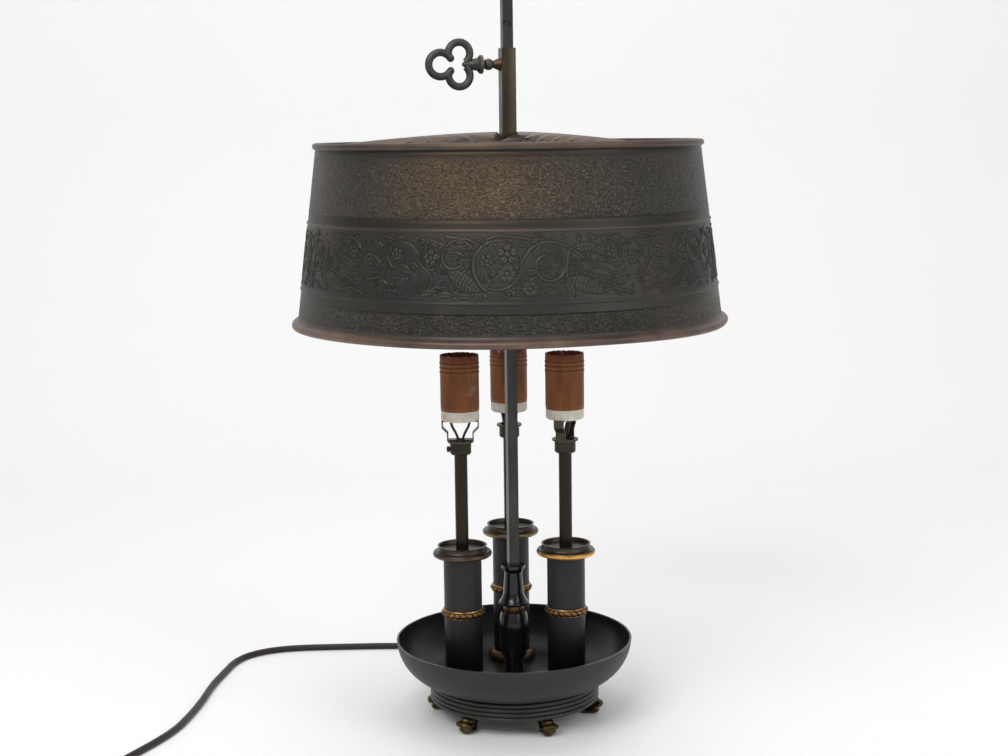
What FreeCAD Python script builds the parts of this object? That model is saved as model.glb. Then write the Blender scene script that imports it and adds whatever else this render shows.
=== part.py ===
"""Three-light bouillotte table lamp, in millimetres.

+Z is up and the table is z = 0. The origin is under the square stem, at the middle of the base. The lamp's front
is -Y. A bearing is an angle round the stem, from the front towards +X.
"""
import FreeCAD, Part
import Sketcher
import math
import os
from FreeCAD import Placement, Rotation, Vector

# Driving sizes, in millimetres and degrees

SIZES = {
    # Dish and what it stands on
    "FootHeight": 14.0,
    "FootKneeRadius": 71.5,
    "FootToeInner": 54.0,
    "FootToeOuter": 62.0,
    "FootRoundness": 8.6,
    "FootBearing": 21.5,
    "FootScrewCircle": 57.0,
    "ScrewRadius": 1.5,
    "ScrewHeadRadius": 2.8,
    "ScrewHeadHeight": 1.8,
    "ScrewDepth": 7.0,
    "RingHeight": 14.6,
    "RingRadius": 66.4,
    "ReedDepth": 1.7,
    "RingWall": 4.9,
    "FlangeWidth": 11.5,
    "FlangeThickness": 2.0,
    "DishFloorRadius": 64.3,
    "DishHeight": 34.0,
    "DishRimRadius": 94.4,
    "DishBellyRadius": 85.6,
    "DishBellyRise": 12.1,
    "DishWall": 1.5,
    "WeightThickness": 8.6,
    # Candle columns
    "CandleCircle": 47.0,
    "TubeRadius": 14.9,
    "TubeWall": 1.0,
    "TubeHeight": 106.0,
    "TubeFootRadius": 19.65,
    "TubeFootHeight": 8.4,
    "BeadHeight": 61.0,
    "BeadProud": 2.6,
    "BeadWidth": 6.4,
    "CupFlangeRadius": 23.1,
    "CupFlangeThickness": 4.4,
    "CupRimRadius": 19.4,
    "CupRimHeight": 4.4,
    "CupRecess": 3.0,
    "CupSpigot": 5.0,
    "PipeRadius": 5.05,
    "PipeBore": 3.5,
    "PipeBelowSocket": 20.5,
    "NutThickness": 3.6,
    "NutCornerRadius": 8.0,
    # Sockets
    "ClampBelowSocket": 26.8,
    "ClampRadius": 8.25,
    "ClampHeight": 11.0,
    "ClampFlangeRadius": 10.2,
    "ClampFlangeThickness": 1.5,
    "ClampCupDepth": 4.2,
    "ClampScrewRadius": 1.5,
    "ClampScrewHead": 2.3,
    "BracketThickness": 0.9,
    "BracketWidth": 8.0,
    "BracketNarrow": 10.3,
    "BracketWide": 14.4,
    "BracketTab": 4.0,
    "BracketDrop": 9.8,
    "SocketHeight": 244.0,
    "RearSocketDrop": 5.0,
    "CeramicRadius": 14.8,
    "CeramicHeight": 8.0,
    "CeramicPlug": 4.0,
    "FibreRadius": 15.05,
    "FibreWall": 1.0,
    "FibreHeight": 43.4,
    "ShellBore": 13.2,
    "ShellWall": 0.5,
    "ShellHeight": 34.0,
    "ContactRadius": 4.0,
    "ContactHeight": 1.4,
    "WireRadius": 1.0,
    "WireSpacing": 1.4,
    "WireSplay": 7.5,
    # Stem
    "StemSide": 8.0,
    "StemTurn": 12.0,
    "StemTop": 640.0,
    "TailRadius": 3.9,
    "StudRadius": 2.5,
    "StudLength": 9.0,
    "VaseHeight": 53.3,
    "VaseRadius": 11.6,
    "VaseWaist": 7.4,
    "CollarHeight": 6.5,
    "CollarRadius": 8.3,
    "CastingHeight": 32.0,
    "CastingFlare": 12.0,
    "CastingNeck": 7.1,
    "CastingLip": 9.4,
    "CastingSeat": 6.0,
    "FinialRadius": 8.4,
    "FinialHeight": 20.0,
    # Sliding shade
    "SleeveSide": 11.1,
    "SleeveFit": 0.1,
    "SleeveBottom": 449.0,
    "SleeveTop": 528.3,
    "BossTip": 10.9,
    "BossTipRadius": 2.9,
    "BossRootRadius": 5.3,
    "ShadeBottom": 320.0,
    "ShadeTop": 455.5,
    "ShadeTopRadius": 148.0,
    "ShadeBottomRadius": 165.4,
    "ShadeWall": 0.9,
    "TopBeadRadius": 2.6,
    "BottomBeadRadius": 2.8,
    "RidgeRadius": 1.0,
    "UpperRidge": 57.5,
    "LowerRidge": 107.5,
    "SpiderRise": 8.6,
    "SpiderThickness": 1.1,
    "SpiderHubRadius": 17.0,
    "SpiderRootWidth": 34.0,
    "SpiderTipWidth": 13.0,
    "SpiderTab": 11.0,
    "SpiderBearing": 41.0,
    "RivetRadius": 1.5,
    # Key screw
    "KeyHeight": 516.0,
    "KeyShank": 2.45,
    "KeyBallOut": 14.8,
    "KeyBallRadius": 4.4,
    "KeyCollarOut": 20.6,
    "KeyCollarRadius": 7.1,
    "KeyTipOut": 35.3,
    "KeyBarRadius": 2.9,
    "KeyEndLobeOut": 52.2,
    "KeyEndLobeRadius": 9.1,
    "KeySideLobeOut": 37.6,
    "KeySideLobeRise": 8.4,
    "KeySideLobeRadius": 8.3,
    # Cord and plug
    "CordDiameter": 5.4,
    "CordExitHeight": 21.0,
    "BushingRadius": 4.2,
    "BushingFlange": 6.0,
    "BushingNose": 18.0,
    "CoilOuterRadius": 40.05,
    "CoilPitch": 5.9,
    "CoilLayerRise": 5.9,
    "PlugLength": 34.0,
    "PlugRadius": 8.5,
    "BladeSpacing": 12.7,
    "BladeWidth": 6.3,
    "BladeThickness": 1.5,
    "BladeLength": 16.0,
    # Fits
    "Clearance": 0.1,
    "LooseClearance": 0.3,
}

COIL_HALF_TURNS = 6
REEDS = 4
FEET = ("right_front", "right", "right_rear", "left_rear", "left", "left_front")
CANDLES = {"left": -60.0, "right": 60.0, "rear": 180.0}
BRACKET_BEARINGS = {"left": 88.0, "right": -24.0, "rear": 8.0}
CLAMP_SCREW_BEARINGS = {"left": -92.0, "right": 150.0, "rear": 170.0}

doc = FreeCAD.newDocument("BouillotteLamp")
sheet = doc.addObject("Spreadsheet::Sheet", "Sizes")
for row, (alias, number) in enumerate(SIZES.items(), start=1):
    sheet.set(f"A{row}", alias)
    sheet.set(f"B{row}", str(number))
    sheet.setAlias(f"B{row}", alias)
doc.recompute()


class Size:
    """A size with the formula that it comes from, so that what is built from it stays bound to the sheet."""

    def __init__(self, value, formula):
        self.value = float(value)
        self.formula = formula

    @staticmethod
    def of(other):
        return other if isinstance(other, Size) else Size(other, repr(float(other)))

    def __add__(self, other):
        other = Size.of(other)
        return Size(self.value + other.value, f"({self.formula} + {other.formula})")

    def __sub__(self, other):
        other = Size.of(other)
        return Size(self.value - other.value, f"({self.formula} - {other.formula})")

    def __mul__(self, other):
        other = Size.of(other)
        return Size(self.value * other.value, f"({self.formula} * {other.formula})")

    def __truediv__(self, other):
        other = Size.of(other)
        return Size(self.value / other.value, f"({self.formula} / {other.formula})")

    def __neg__(self):
        return self * -1.0


def size(alias):
    return Size(sheet.get(alias), f"Sizes.{alias}")


zero = Size(0.0, "0")
nodes = {}


def node(name, shape_object):
    """Names a finished piece. Its label is the name of its file."""
    shape_object.Label = name
    nodes[name] = shape_object
    return shape_object


def bind(thing, **sizes):
    for field, value in sizes.items():
        thing.setExpression(field.replace("__", "."), Size.of(value).formula)
    return thing


def place(thing, x=zero, y=zero, z=zero, turn=0.0, tilt=None):
    """Stands a piece at a point, turned about the vertical and, before that, tilted."""
    rotation = Rotation(Vector(0, 0, 1), turn)
    if tilt is not None:
        rotation = rotation * tilt
    x, y, z = Size.of(x), Size.of(y), Size.of(z)
    thing.Placement = Placement(Vector(x.value, y.value, z.value), rotation)
    for axis, value in zip("xyz", (x, y, z)):
        thing.setExpression(f"Placement.Base.{axis}", value.formula)
    return thing


def direction(bearing):
    return math.sin(math.radians(bearing)), -math.cos(math.radians(bearing))


def at_bearing(thing, bearing, radius, turn=None, z=zero):
    """Stands a piece on a circle round the stem. Its own +X points away from the stem unless it is turned."""
    across, along = direction(bearing)
    return place(thing, radius * across, radius * along, z, bearing - 90.0 if turn is None else turn)


def cylinder(radius, bottom, top, name="Cylinder"):
    solid = doc.addObject("Part::Cylinder", name)
    bind(solid, Radius=radius, Height=top - bottom)
    return place(solid, z=bottom)


def box(length, width, bottom, top, name="Box"):
    """A box centred on the vertical axis."""
    solid = doc.addObject("Part::Box", name)
    bind(solid, Length=length, Width=width, Height=top - bottom)
    return place(solid, -(length / 2), -(width / 2), bottom)


def cut(base, *tools):
    tool = tools[0] if len(tools) == 1 else fuse(*tools)
    result = doc.addObject("Part::Cut", "Cut")
    result.Base = base
    result.Tool = tool
    return result


def fuse(*pieces):
    result = doc.addObject("Part::MultiFuse", "Fuse")
    result.Shapes = list(pieces)
    return result


def common(*pieces):
    result = doc.addObject("Part::MultiCommon", "Common")
    result.Shapes = list(pieces)
    return result


def group(*pieces):
    result = doc.addObject("Part::Compound", "Group")
    result.Links = list(pieces)
    return result


def origin_plane(body, role):
    return next(o for o in body.Origin.OriginFeatures if o.Role == role)


def fixed(sketch, geometry, position, point):
    """Holds a sketch point at sizes from the sheet."""
    for kind, axis, value in zip(("DistanceX", "DistanceY"), (-2, -1), point):
        if value.value == 0.0:
            sketch.addConstraint(Sketcher.Constraint("PointOnObject", geometry, position, axis))
            continue
        index = sketch.addConstraint(Sketcher.Constraint(kind, -1, 1, geometry, position, value.value))
        sketch.setExpression(f"Constraints[{index}]", value.formula)


def upward_arc(start, via, finish, forward):
    """The arc through three points, drawn anticlockwise from whichever end that takes, as sketches keep their arcs."""
    centre = Part.Circle(start, via, finish).Center
    first, last = (start, finish) if forward else (finish, start)
    begin, end = (math.atan2(p.y - centre.y, p.x - centre.x) for p in (first, last))
    if end <= begin:
        end += 2 * math.pi
    circle = Part.Circle(centre, Vector(0, 0, 1), start.distanceToPoint(centre))
    return Part.ArcOfCircle(circle, begin, end)


def outline(body, role, points):
    """A closed outline in a sketch. An item of three, ("arc", x, y), bends the side there through that point."""
    sketch = body.newObject("Sketcher::SketchObject", "Outline")
    sketch.AttachmentSupport = [(origin_plane(body, role), "")]
    sketch.MapMode = "FlatFace"
    corners = [tuple(Size.of(v) for v in p) for p in points if p[0] != "arc"]
    through = {}
    count = 0
    for p in points:
        if p[0] == "arc":
            through[count - 1] = (Size.of(p[1]), Size.of(p[2]))
        else:
            count += 1
    vectors = [Vector(x.value, y.value, 0) for x, y in corners]
    ends = []
    for i, start in enumerate(vectors):
        finish = vectors[(i + 1) % len(vectors)]
        if i in through:
            via = Vector(through[i][0].value, through[i][1].value, 0)
            forward = (via - start).cross(finish - via).z > 0
            index = sketch.addGeometry(upward_arc(start, via, finish, forward), False)
            ends.append((index, 1, 2) if forward else (index, 2, 1))
        else:
            ends.append((sketch.addGeometry(Part.LineSegment(start, finish), False), 1, 2))
    for i, (index, start, finish) in enumerate(ends):
        following, joined, _ = ends[(i + 1) % len(ends)]
        sketch.addConstraint(Sketcher.Constraint("Coincident", index, finish, following, joined))
    for i, (index, start, _) in enumerate(ends):
        fixed(sketch, index, start, corners[i])
        if i in through:
            mark = sketch.addGeometry(Part.Point(Vector(through[i][0].value, through[i][1].value, 0)), True)
            fixed(sketch, mark, 1, through[i])
            sketch.addConstraint(Sketcher.Constraint("PointOnObject", mark, 1, index))
    return sketch


def turned(points, name="Turned", about="V_Axis"):
    """A piece turned about the vertical, from radius and height pairs."""
    body = doc.addObject("PartDesign::Body", name)
    sketch = outline(body, "XZ_Plane", points)
    turning = body.newObject("PartDesign::Revolution", "Turning")
    turning.Profile = (sketch, [""])
    turning.ReferenceAxis = (sketch, [about])
    turning.Angle = 360.0
    return body


def padded(points, depth, role="XZ_Plane", name="Padded"):
    """A piece cut from plate, as thick as depth, half on each side of its plane."""
    body = doc.addObject("PartDesign::Body", name)
    sketch = outline(body, role, points)
    pad = body.newObject("PartDesign::Pad", "Thickness")
    pad.Profile = (sketch, [""])
    pad.Midplane = True
    bind(pad, Length=depth)
    return body


# Heights that several pieces share

ring_bottom = size("FootHeight")
dish_bottom = ring_bottom + size("RingHeight")
dish_floor = dish_bottom + size("DishWall")
dish_rim = dish_bottom + size("DishHeight")
ring_inner = size("RingRadius") - size("RingWall")
flange_top = ring_bottom + size("FlangeThickness")
weight_bottom = dish_bottom - size("WeightThickness")
nut_bottom = weight_bottom - size("NutThickness")
tube_top = dish_floor + size("TubeHeight")
pipe_hole = size("PipeRadius") + size("Clearance")
tail_hole = size("TailRadius") + size("Clearance")
candle_circle = size("CandleCircle")
stem_turn = size("StemTurn").value


def candle_cylinders(radius, bottom, top):
    return [at_bearing(cylinder(radius, bottom, top), b, candle_circle, z=bottom) for b in CANDLES.values()]


# Dish, foot ring, weight and feet


def make_dish():
    wall = size("DishWall")
    belly_radius, belly = size("DishBellyRadius"), dish_bottom + size("DishBellyRise")
    bowl = turned([
        (tail_hole, dish_bottom),
        (size("DishFloorRadius"), dish_bottom),
        ("arc", belly_radius, belly),
        (size("DishRimRadius"), dish_rim),
        (size("DishRimRadius") - wall, dish_rim),
        ("arc", belly_radius - wall * 0.82, belly + wall * 0.58),
        (size("DishFloorRadius") - wall * 0.2, dish_floor),
        (tail_hole, dish_floor),
    ])
    node("dish", cut(bowl, *candle_cylinders(pipe_hole, dish_bottom - 1, dish_floor + 1)))


def make_foot_ring():
    crest, root = size("RingRadius") + size("ReedDepth"), size("RingRadius")
    pitch = size("RingHeight") / REEDS
    points = [(ring_inner - size("FlangeWidth"), ring_bottom), (root, ring_bottom)]
    for reed in range(REEDS):
        points.append(("arc", crest, ring_bottom + pitch * (reed + 0.5)))
        points.append((root, ring_bottom + pitch * (reed + 1)))
    points += [
        (ring_inner, dish_bottom),
        (ring_inner, flange_top),
        (ring_inner - size("FlangeWidth"), flange_top),
    ]
    ring = turned(points)
    screw_holes = []
    for index in range(len(FEET)):
        hole = cylinder(size("ScrewRadius") + size("Clearance"), ring_bottom - 1, flange_top + 1)
        bearing = SIZES["FootBearing"] + 60.0 * index
        screw_holes.append(at_bearing(hole, bearing, size("FootScrewCircle"), z=ring_bottom - 1))
    cord_hole = doc.addObject("Part::Cylinder", "CordHole")
    bind(cord_hole, Radius=size("BushingRadius") + size("Clearance"), Height=crest - ring_inner + 4)
    place(cord_hole, y=ring_inner - 2, z=size("CordExitHeight"), tilt=Rotation(Vector(1, 0, 0), -90))
    node("foot_ring", cut(ring, cord_hole, *screw_holes))


def make_weight():
    disc = cylinder(ring_inner - size("LooseClearance"), weight_bottom, dish_bottom)
    holes = candle_cylinders(pipe_hole, weight_bottom - 1, dish_bottom + 1)
    holes.append(cylinder(tail_hole, weight_bottom - 1, dish_bottom + 1))
    notch_width = size("BushingRadius") * 2 + 3
    notch = box(notch_width, ring_inner - candle_circle, weight_bottom - 1, dish_bottom + 1)
    notch_middle = (ring_inner + candle_circle) / 2 + pipe_hole + 2
    place(notch, -(notch_width / 2), notch_middle - (ring_inner - candle_circle) / 2, weight_bottom - 1)
    node("base_weight", cut(disc, notch, *holes))


def make_feet():
    knee, roundness = size("FootKneeRadius"), size("FootRoundness")
    for index, side in enumerate(FEET):
        scroll = padded([
            (size("FootToeInner"), zero),
            (size("FootToeOuter"), zero),
            ("arc", size("FootToeOuter") + 2.6, ring_bottom * 0.18),
            (size("FootToeOuter") + 2.4, ring_bottom * 0.4),
            ("arc", knee, ring_bottom * 0.68),
            (knee - 3.5, ring_bottom),
            (size("FootToeInner") - 1, ring_bottom),
            (size("FootToeInner") + 0.6, ring_bottom * 0.5),
            (size("FootToeInner") - 0.6, ring_bottom * 0.15),
        ], roundness * 2, name="Scroll")
        barrel = doc.addObject("Part::Cylinder", "Barrel")
        bind(barrel, Radius=roundness, Height=knee)
        place(barrel, size("FootToeInner") - 10, z=ring_bottom * 0.46, tilt=Rotation(Vector(0, 1, 0), 90))
        hole = cylinder(size("ScrewRadius") + size("Clearance"), ring_bottom - size("ScrewDepth"), ring_bottom + 1)
        place(hole, size("FootScrewCircle"), z=ring_bottom - size("ScrewDepth"))
        foot = cut(common(scroll, barrel), hole)
        place(foot, turn=SIZES["FootBearing"] + 60.0 * index - 90.0)
        node(f"foot_{side}", foot)
    screws = []
    for index in range(len(FEET)):
        screw = turned([
            (zero, ring_bottom - size("ScrewDepth") + 0.3),
            (size("ScrewRadius"), ring_bottom - size("ScrewDepth") + 0.3),
            (size("ScrewRadius"), flange_top),
            (size("ScrewHeadRadius"), flange_top),
            (size("ScrewHeadRadius"), flange_top + size("ScrewHeadHeight")),
            (zero, flange_top + size("ScrewHeadHeight")),
        ], name="FootScrew")
        screws.append(at_bearing(screw, SIZES["FootBearing"] + 60.0 * index, size("FootScrewCircle")))
    node("foot_screws", group(*screws))


def make_lock_nuts():
    nuts = []
    for bearing, reach, bore in [(b, candle_circle, pipe_hole) for b in CANDLES.values()] + [(0.0, zero, tail_hole)]:
        hexagon = doc.addObject("Part::Prism", "Hexagon")
        hexagon.Polygon = 6
        bind(hexagon, Circumradius=size("NutCornerRadius"), Height=weight_bottom - nut_bottom)
        nut = cut(hexagon, cylinder(bore, -Size.of(1), weight_bottom - nut_bottom + 1))
        nuts.append(at_bearing(nut, bearing, reach, z=nut_bottom))
    node("lock_nuts", group(*nuts))


# Candle columns


def make_candle(name, bearing):
    tube_radius, bead_middle = size("TubeRadius"), dish_floor + size("BeadHeight")
    tube_bore = tube_radius - size("TubeWall")
    ring_bore = tube_radius + 0.05
    half_bead = size("BeadWidth") / 2
    flange_top_height = tube_top + size("CupFlangeThickness")
    rim_top = flange_top_height + size("CupRimHeight")
    flange_edge = size("CupFlangeRadius")
    tube = turned([
        (tube_bore, dish_floor), (tube_radius, dish_floor), (tube_radius, tube_top), (tube_bore, tube_top),
    ])
    foot = turned([
        (ring_bore, dish_floor),
        (size("TubeFootRadius") - 1, dish_floor),
        ("arc", size("TubeFootRadius"), dish_floor + size("TubeFootHeight") * 0.42),
        (ring_bore + 1, dish_floor + size("TubeFootHeight")),
        (ring_bore, dish_floor + size("TubeFootHeight")),
    ])
    bead = turned([
        (ring_bore, bead_middle - half_bead),
        ("arc", tube_radius + size("BeadProud"), bead_middle),
        (ring_bore, bead_middle + half_bead),
    ])
    spigot = tube_bore - size("Clearance")
    cup = turned([
        (pipe_hole, tube_top),
        (spigot - 1, tube_top),
        (spigot - 1, tube_top - size("CupSpigot")),
        (spigot, tube_top - size("CupSpigot")),
        (spigot, tube_top),
        (flange_edge - 1.6, tube_top),
        ("arc", flange_edge, tube_top + size("CupFlangeThickness") / 2),
        (flange_edge - 1.6, flange_top_height),
        (size("CupRimRadius") + 0.8, flange_top_height),
        ("arc", size("CupRimRadius") - 0.5, flange_top_height + size("CupRimHeight") * 0.45),
        (size("CupRimRadius"), rim_top),
        (size("CupRimRadius") - 1.4, rim_top),
        (size("CupRimRadius") - 2.2, rim_top - size("CupRecess")),
        (pipe_hole, rim_top - size("CupRecess") - 0.8),
    ])
    pipe = turned([
        (size("PipeBore"), nut_bottom - 0.5), (size("PipeRadius"), nut_bottom - 0.5),
        (size("PipeRadius"), pipe_top()), (size("PipeBore"), pipe_top()),
    ])
    for label, piece in (("candle_tube", tube), ("tube_foot", foot), ("bead_ring", bead),
                         ("candle_cup", cup), ("pipe", pipe)):
        node(f"{label}_{name}", at_bearing(piece, bearing, candle_circle))


def socket_bottom(name):
    return size("SocketHeight") - size("RearSocketDrop") if name == "rear" else size("SocketHeight")


def pipe_top():
    return size("SocketHeight") - size("PipeBelowSocket")


def clamp_bottom():
    return size("SocketHeight") - size("ClampBelowSocket")


def clamp_top():
    return clamp_bottom() + size("ClampHeight")


def make_clamp(name, bearing):
    low, high = clamp_bottom(), clamp_top()
    radius = size("ClampRadius")
    cup_bottom = high - size("ClampCupDepth")
    cup = turned([
        (pipe_hole, low),
        (radius - 1, low),
        (radius, low + 1),
        (radius, high - size("ClampFlangeThickness") - 0.6),
        (size("ClampFlangeRadius"), high - size("ClampFlangeThickness")),
        (size("ClampFlangeRadius"), high),
        (radius - 1.2, high),
        (radius - 1.2, cup_bottom),
        (pipe_hole, cup_bottom),
    ])
    tapped = doc.addObject("Part::Cylinder", "Tapped")
    bind(tapped, Radius=size("ClampScrewRadius") + size("Clearance"), Height=radius + 2)
    place(tapped, z=low + 4, tilt=Rotation(Vector(0, 1, 0), 90))
    body = cut(cup, tapped)
    node(f"clamp_cup_{name}", at_bearing(body, bearing, candle_circle, turn=CLAMP_SCREW_BEARINGS[name] - 90.0))
    screw = turned([
        (zero, size("PipeRadius") + 0.2),
        (size("ClampScrewRadius"), size("PipeRadius") + 0.2),
        (size("ClampScrewRadius"), radius + 0.3),
        (size("ClampScrewHead"), radius + 0.3),
        (size("ClampScrewHead"), radius + 1.9),
        ("arc", size("ClampScrewHead") * 0.75, radius + 2.45),
        (0.8, radius + 2.7),
        (zero, radius + 2.7),
    ], name="ClampScrew")
    across, along = direction(bearing)
    turn = Rotation(Vector(0, 1, 0), 90)
    return place(screw, candle_circle * across, candle_circle * along, low + 4,
                 CLAMP_SCREW_BEARINGS[name] - 90.0, turn)


def make_bracket(name, bearing):
    """A U-shaped strap that carries the socket on its two turned-in tabs."""
    plate, foot, top = size("BracketThickness"), clamp_top(), socket_bottom(name)
    narrow, wide = size("BracketNarrow"), size("BracketWide")
    bend = top - size("BracketDrop")
    shoulder = bend + (wide - narrow)
    inner_tab = wide - size("BracketTab")
    outer = [(narrow, foot), (narrow, bend), (wide, shoulder), (wide, top), (inner_tab, top)]
    inner = [(inner_tab, top - plate), (wide - plate, top - plate), (wide - plate, shoulder + plate * 0.4),
             (narrow - plate, bend + plate * 0.4), (narrow - plate, foot + plate)]
    half = outer + inner
    strap = padded(half + [(-x, z) for x, z in reversed(half)], size("BracketWidth"), name="Strap")
    wire_hole = cylinder(size("PipeBore"), foot - 1, foot + plate + 1)
    bracket = cut(strap, wire_hole)
    turn = BRACKET_BEARINGS[name] - 90.0
    node(f"socket_bracket_{name}", at_bearing(bracket, bearing, candle_circle, turn=turn))


def wire_turn(name):
    """The wires rise in the plane of the bracket on the left, and across it where the strap is seen face on."""
    return BRACKET_BEARINGS["left"] - 90.0 if name == "left" else BRACKET_BEARINGS[name] - 40.0


def make_socket(name, bearing):
    low = socket_bottom(name)
    seat = low + size("CeramicHeight")
    radius = size("CeramicRadius")
    plug = size("FibreRadius") - size("FibreWall") - size("Clearance")
    shell_bottom = seat + size("CeramicPlug")
    # The centre contact lies in a recess, so it stays below the shell
    button = shell_bottom - size("ContactHeight") - size("LooseClearance")
    recess = size("ContactRadius") + size("LooseClearance")
    ceramic = turned([
        (zero, low), (radius - 1.2, low), (radius, low + 1.2), (radius, seat), (plug, seat),
        (plug, shell_bottom), (recess, shell_bottom), (recess, button), (zero, button),
    ], name="Ceramic")
    holes = []
    for side in (1, -1):
        hole = cylinder(size("WireRadius") + size("Clearance") * 2, low - 1, seat - 1)
        holes.append(place(hole, size("WireSplay") * side, z=low - 1))
    turn = wire_turn(name)
    node(f"socket_base_{name}", at_bearing(cut(ceramic, *holes), bearing, candle_circle, turn=turn))
    fibre = size("FibreRadius")
    sleeve = turned([
        (fibre - size("FibreWall"), seat), (fibre, seat),
        (fibre, seat + size("FibreHeight")), (fibre - size("FibreWall"), seat + size("FibreHeight")),
    ], name="FibreSleeve")
    node(f"socket_sleeve_{name}", at_bearing(sleeve, bearing, candle_circle))
    bore = size("ShellBore")
    shell = turned([
        (bore, shell_bottom), (bore + size("ShellWall"), shell_bottom),
        (bore + size("ShellWall"), shell_bottom + size("ShellHeight")), (bore, shell_bottom + size("ShellHeight")),
    ], name="ScrewShell")
    node(f"screw_shell_{name}", at_bearing(shell, bearing, candle_circle))
    contact = turned([
        (zero, button), (size("ContactRadius"), button), (size("ContactRadius"), button + 0.5),
        ("arc", size("ContactRadius") * 0.7, button + size("ContactHeight") * 0.8),
        (size("ContactRadius") * 0.2, button + size("ContactHeight")),
        (zero, button + size("ContactHeight")),
    ], name="Contact")
    return at_bearing(contact, bearing, candle_circle)


def make_sockets():
    screws, contacts, wires = [], [], []
    for name, bearing in CANDLES.items():
        make_candle(name, bearing)
        screws.append(make_clamp(name, bearing))
        make_bracket(name, bearing)
        contacts.append(make_socket(name, bearing))
        wires += make_wires(name, bearing)
    node("clamp_screws", group(*screws))
    node("centre_contacts", group(*contacts))
    node("lamp_wiring", group(*wires))


# Paths of wires and cord


def unit(v):
    return v * (1.0 / v.Length)


def rounded_path(points, report=None):
    """Straight runs joined by arcs. Each arc takes 0.45 of the shorter of its two runs."""
    points = [Vector(*p) for p in points]
    edges, start, radii = [], points[0], []
    for before, corner, after in zip(points, points[1:], points[2:]):
        into, out = unit(corner - before), unit(after - corner)
        reach = 0.45 * min((corner - before).Length, (after - corner).Length)
        turn = into.getAngle(out)
        first, last = corner - into * reach, corner + out * reach
        radius = reach / math.tan(turn / 2)
        radii.append(radius)
        towards = unit(out - into)
        middle = corner + towards * (radius / math.cos(turn / 2) - radius)
        edges.append(Part.LineSegment(start, first).toShape())
        edges.append(Part.Arc(first, middle, last).toShape())
        start = last
    edges.append(Part.LineSegment(start, points[-1]).toShape())
    wire = Part.Wire(edges)
    if report:
        print(f"{report}: length {wire.Length:.1f}, least radius {min(radii):.1f}")
    return wire


def swept(wire, radius):
    """A round tube along a path, as a plain solid."""
    start = wire.Edges[0]
    heading = start.tangentAt(start.FirstParameter)
    circle = Part.Circle(start.valueAt(start.FirstParameter), heading, radius).toShape()
    solid = wire.makePipeShell([Part.Wire(circle)], True, False)
    expected = math.pi * radius ** 2 * wire.Length
    if abs(solid.Volume - expected) > 0.01 * expected:
        raise ValueError(f"a tube has volume {solid.Volume:.0f}, not {expected:.0f}")
    return solid


def feature(shape, name):
    piece = doc.addObject("Part::Feature", name)
    piece.Shape = shape
    return piece


def make_wires(name, bearing):
    spacing, splay = SIZES["WireSpacing"], SIZES["WireSplay"]
    leave, top = clamp_top().value + 2.0, socket_bottom(name).value
    wires = []
    for side in (1, -1):
        route = [
            (side * spacing, 0, nut_bottom.value),
            (side * spacing, 0, leave),
            (side * splay, 0, top - 3.0),
            (side * splay, 0, top + SIZES["CeramicHeight"] - 1.5),
        ]
        wire = feature(swept(rounded_path(route), SIZES["WireRadius"]), "Wire")
        wires.append(at_bearing(wire, bearing, candle_circle, turn=wire_turn(name)))
    return wires


# Stem


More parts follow.
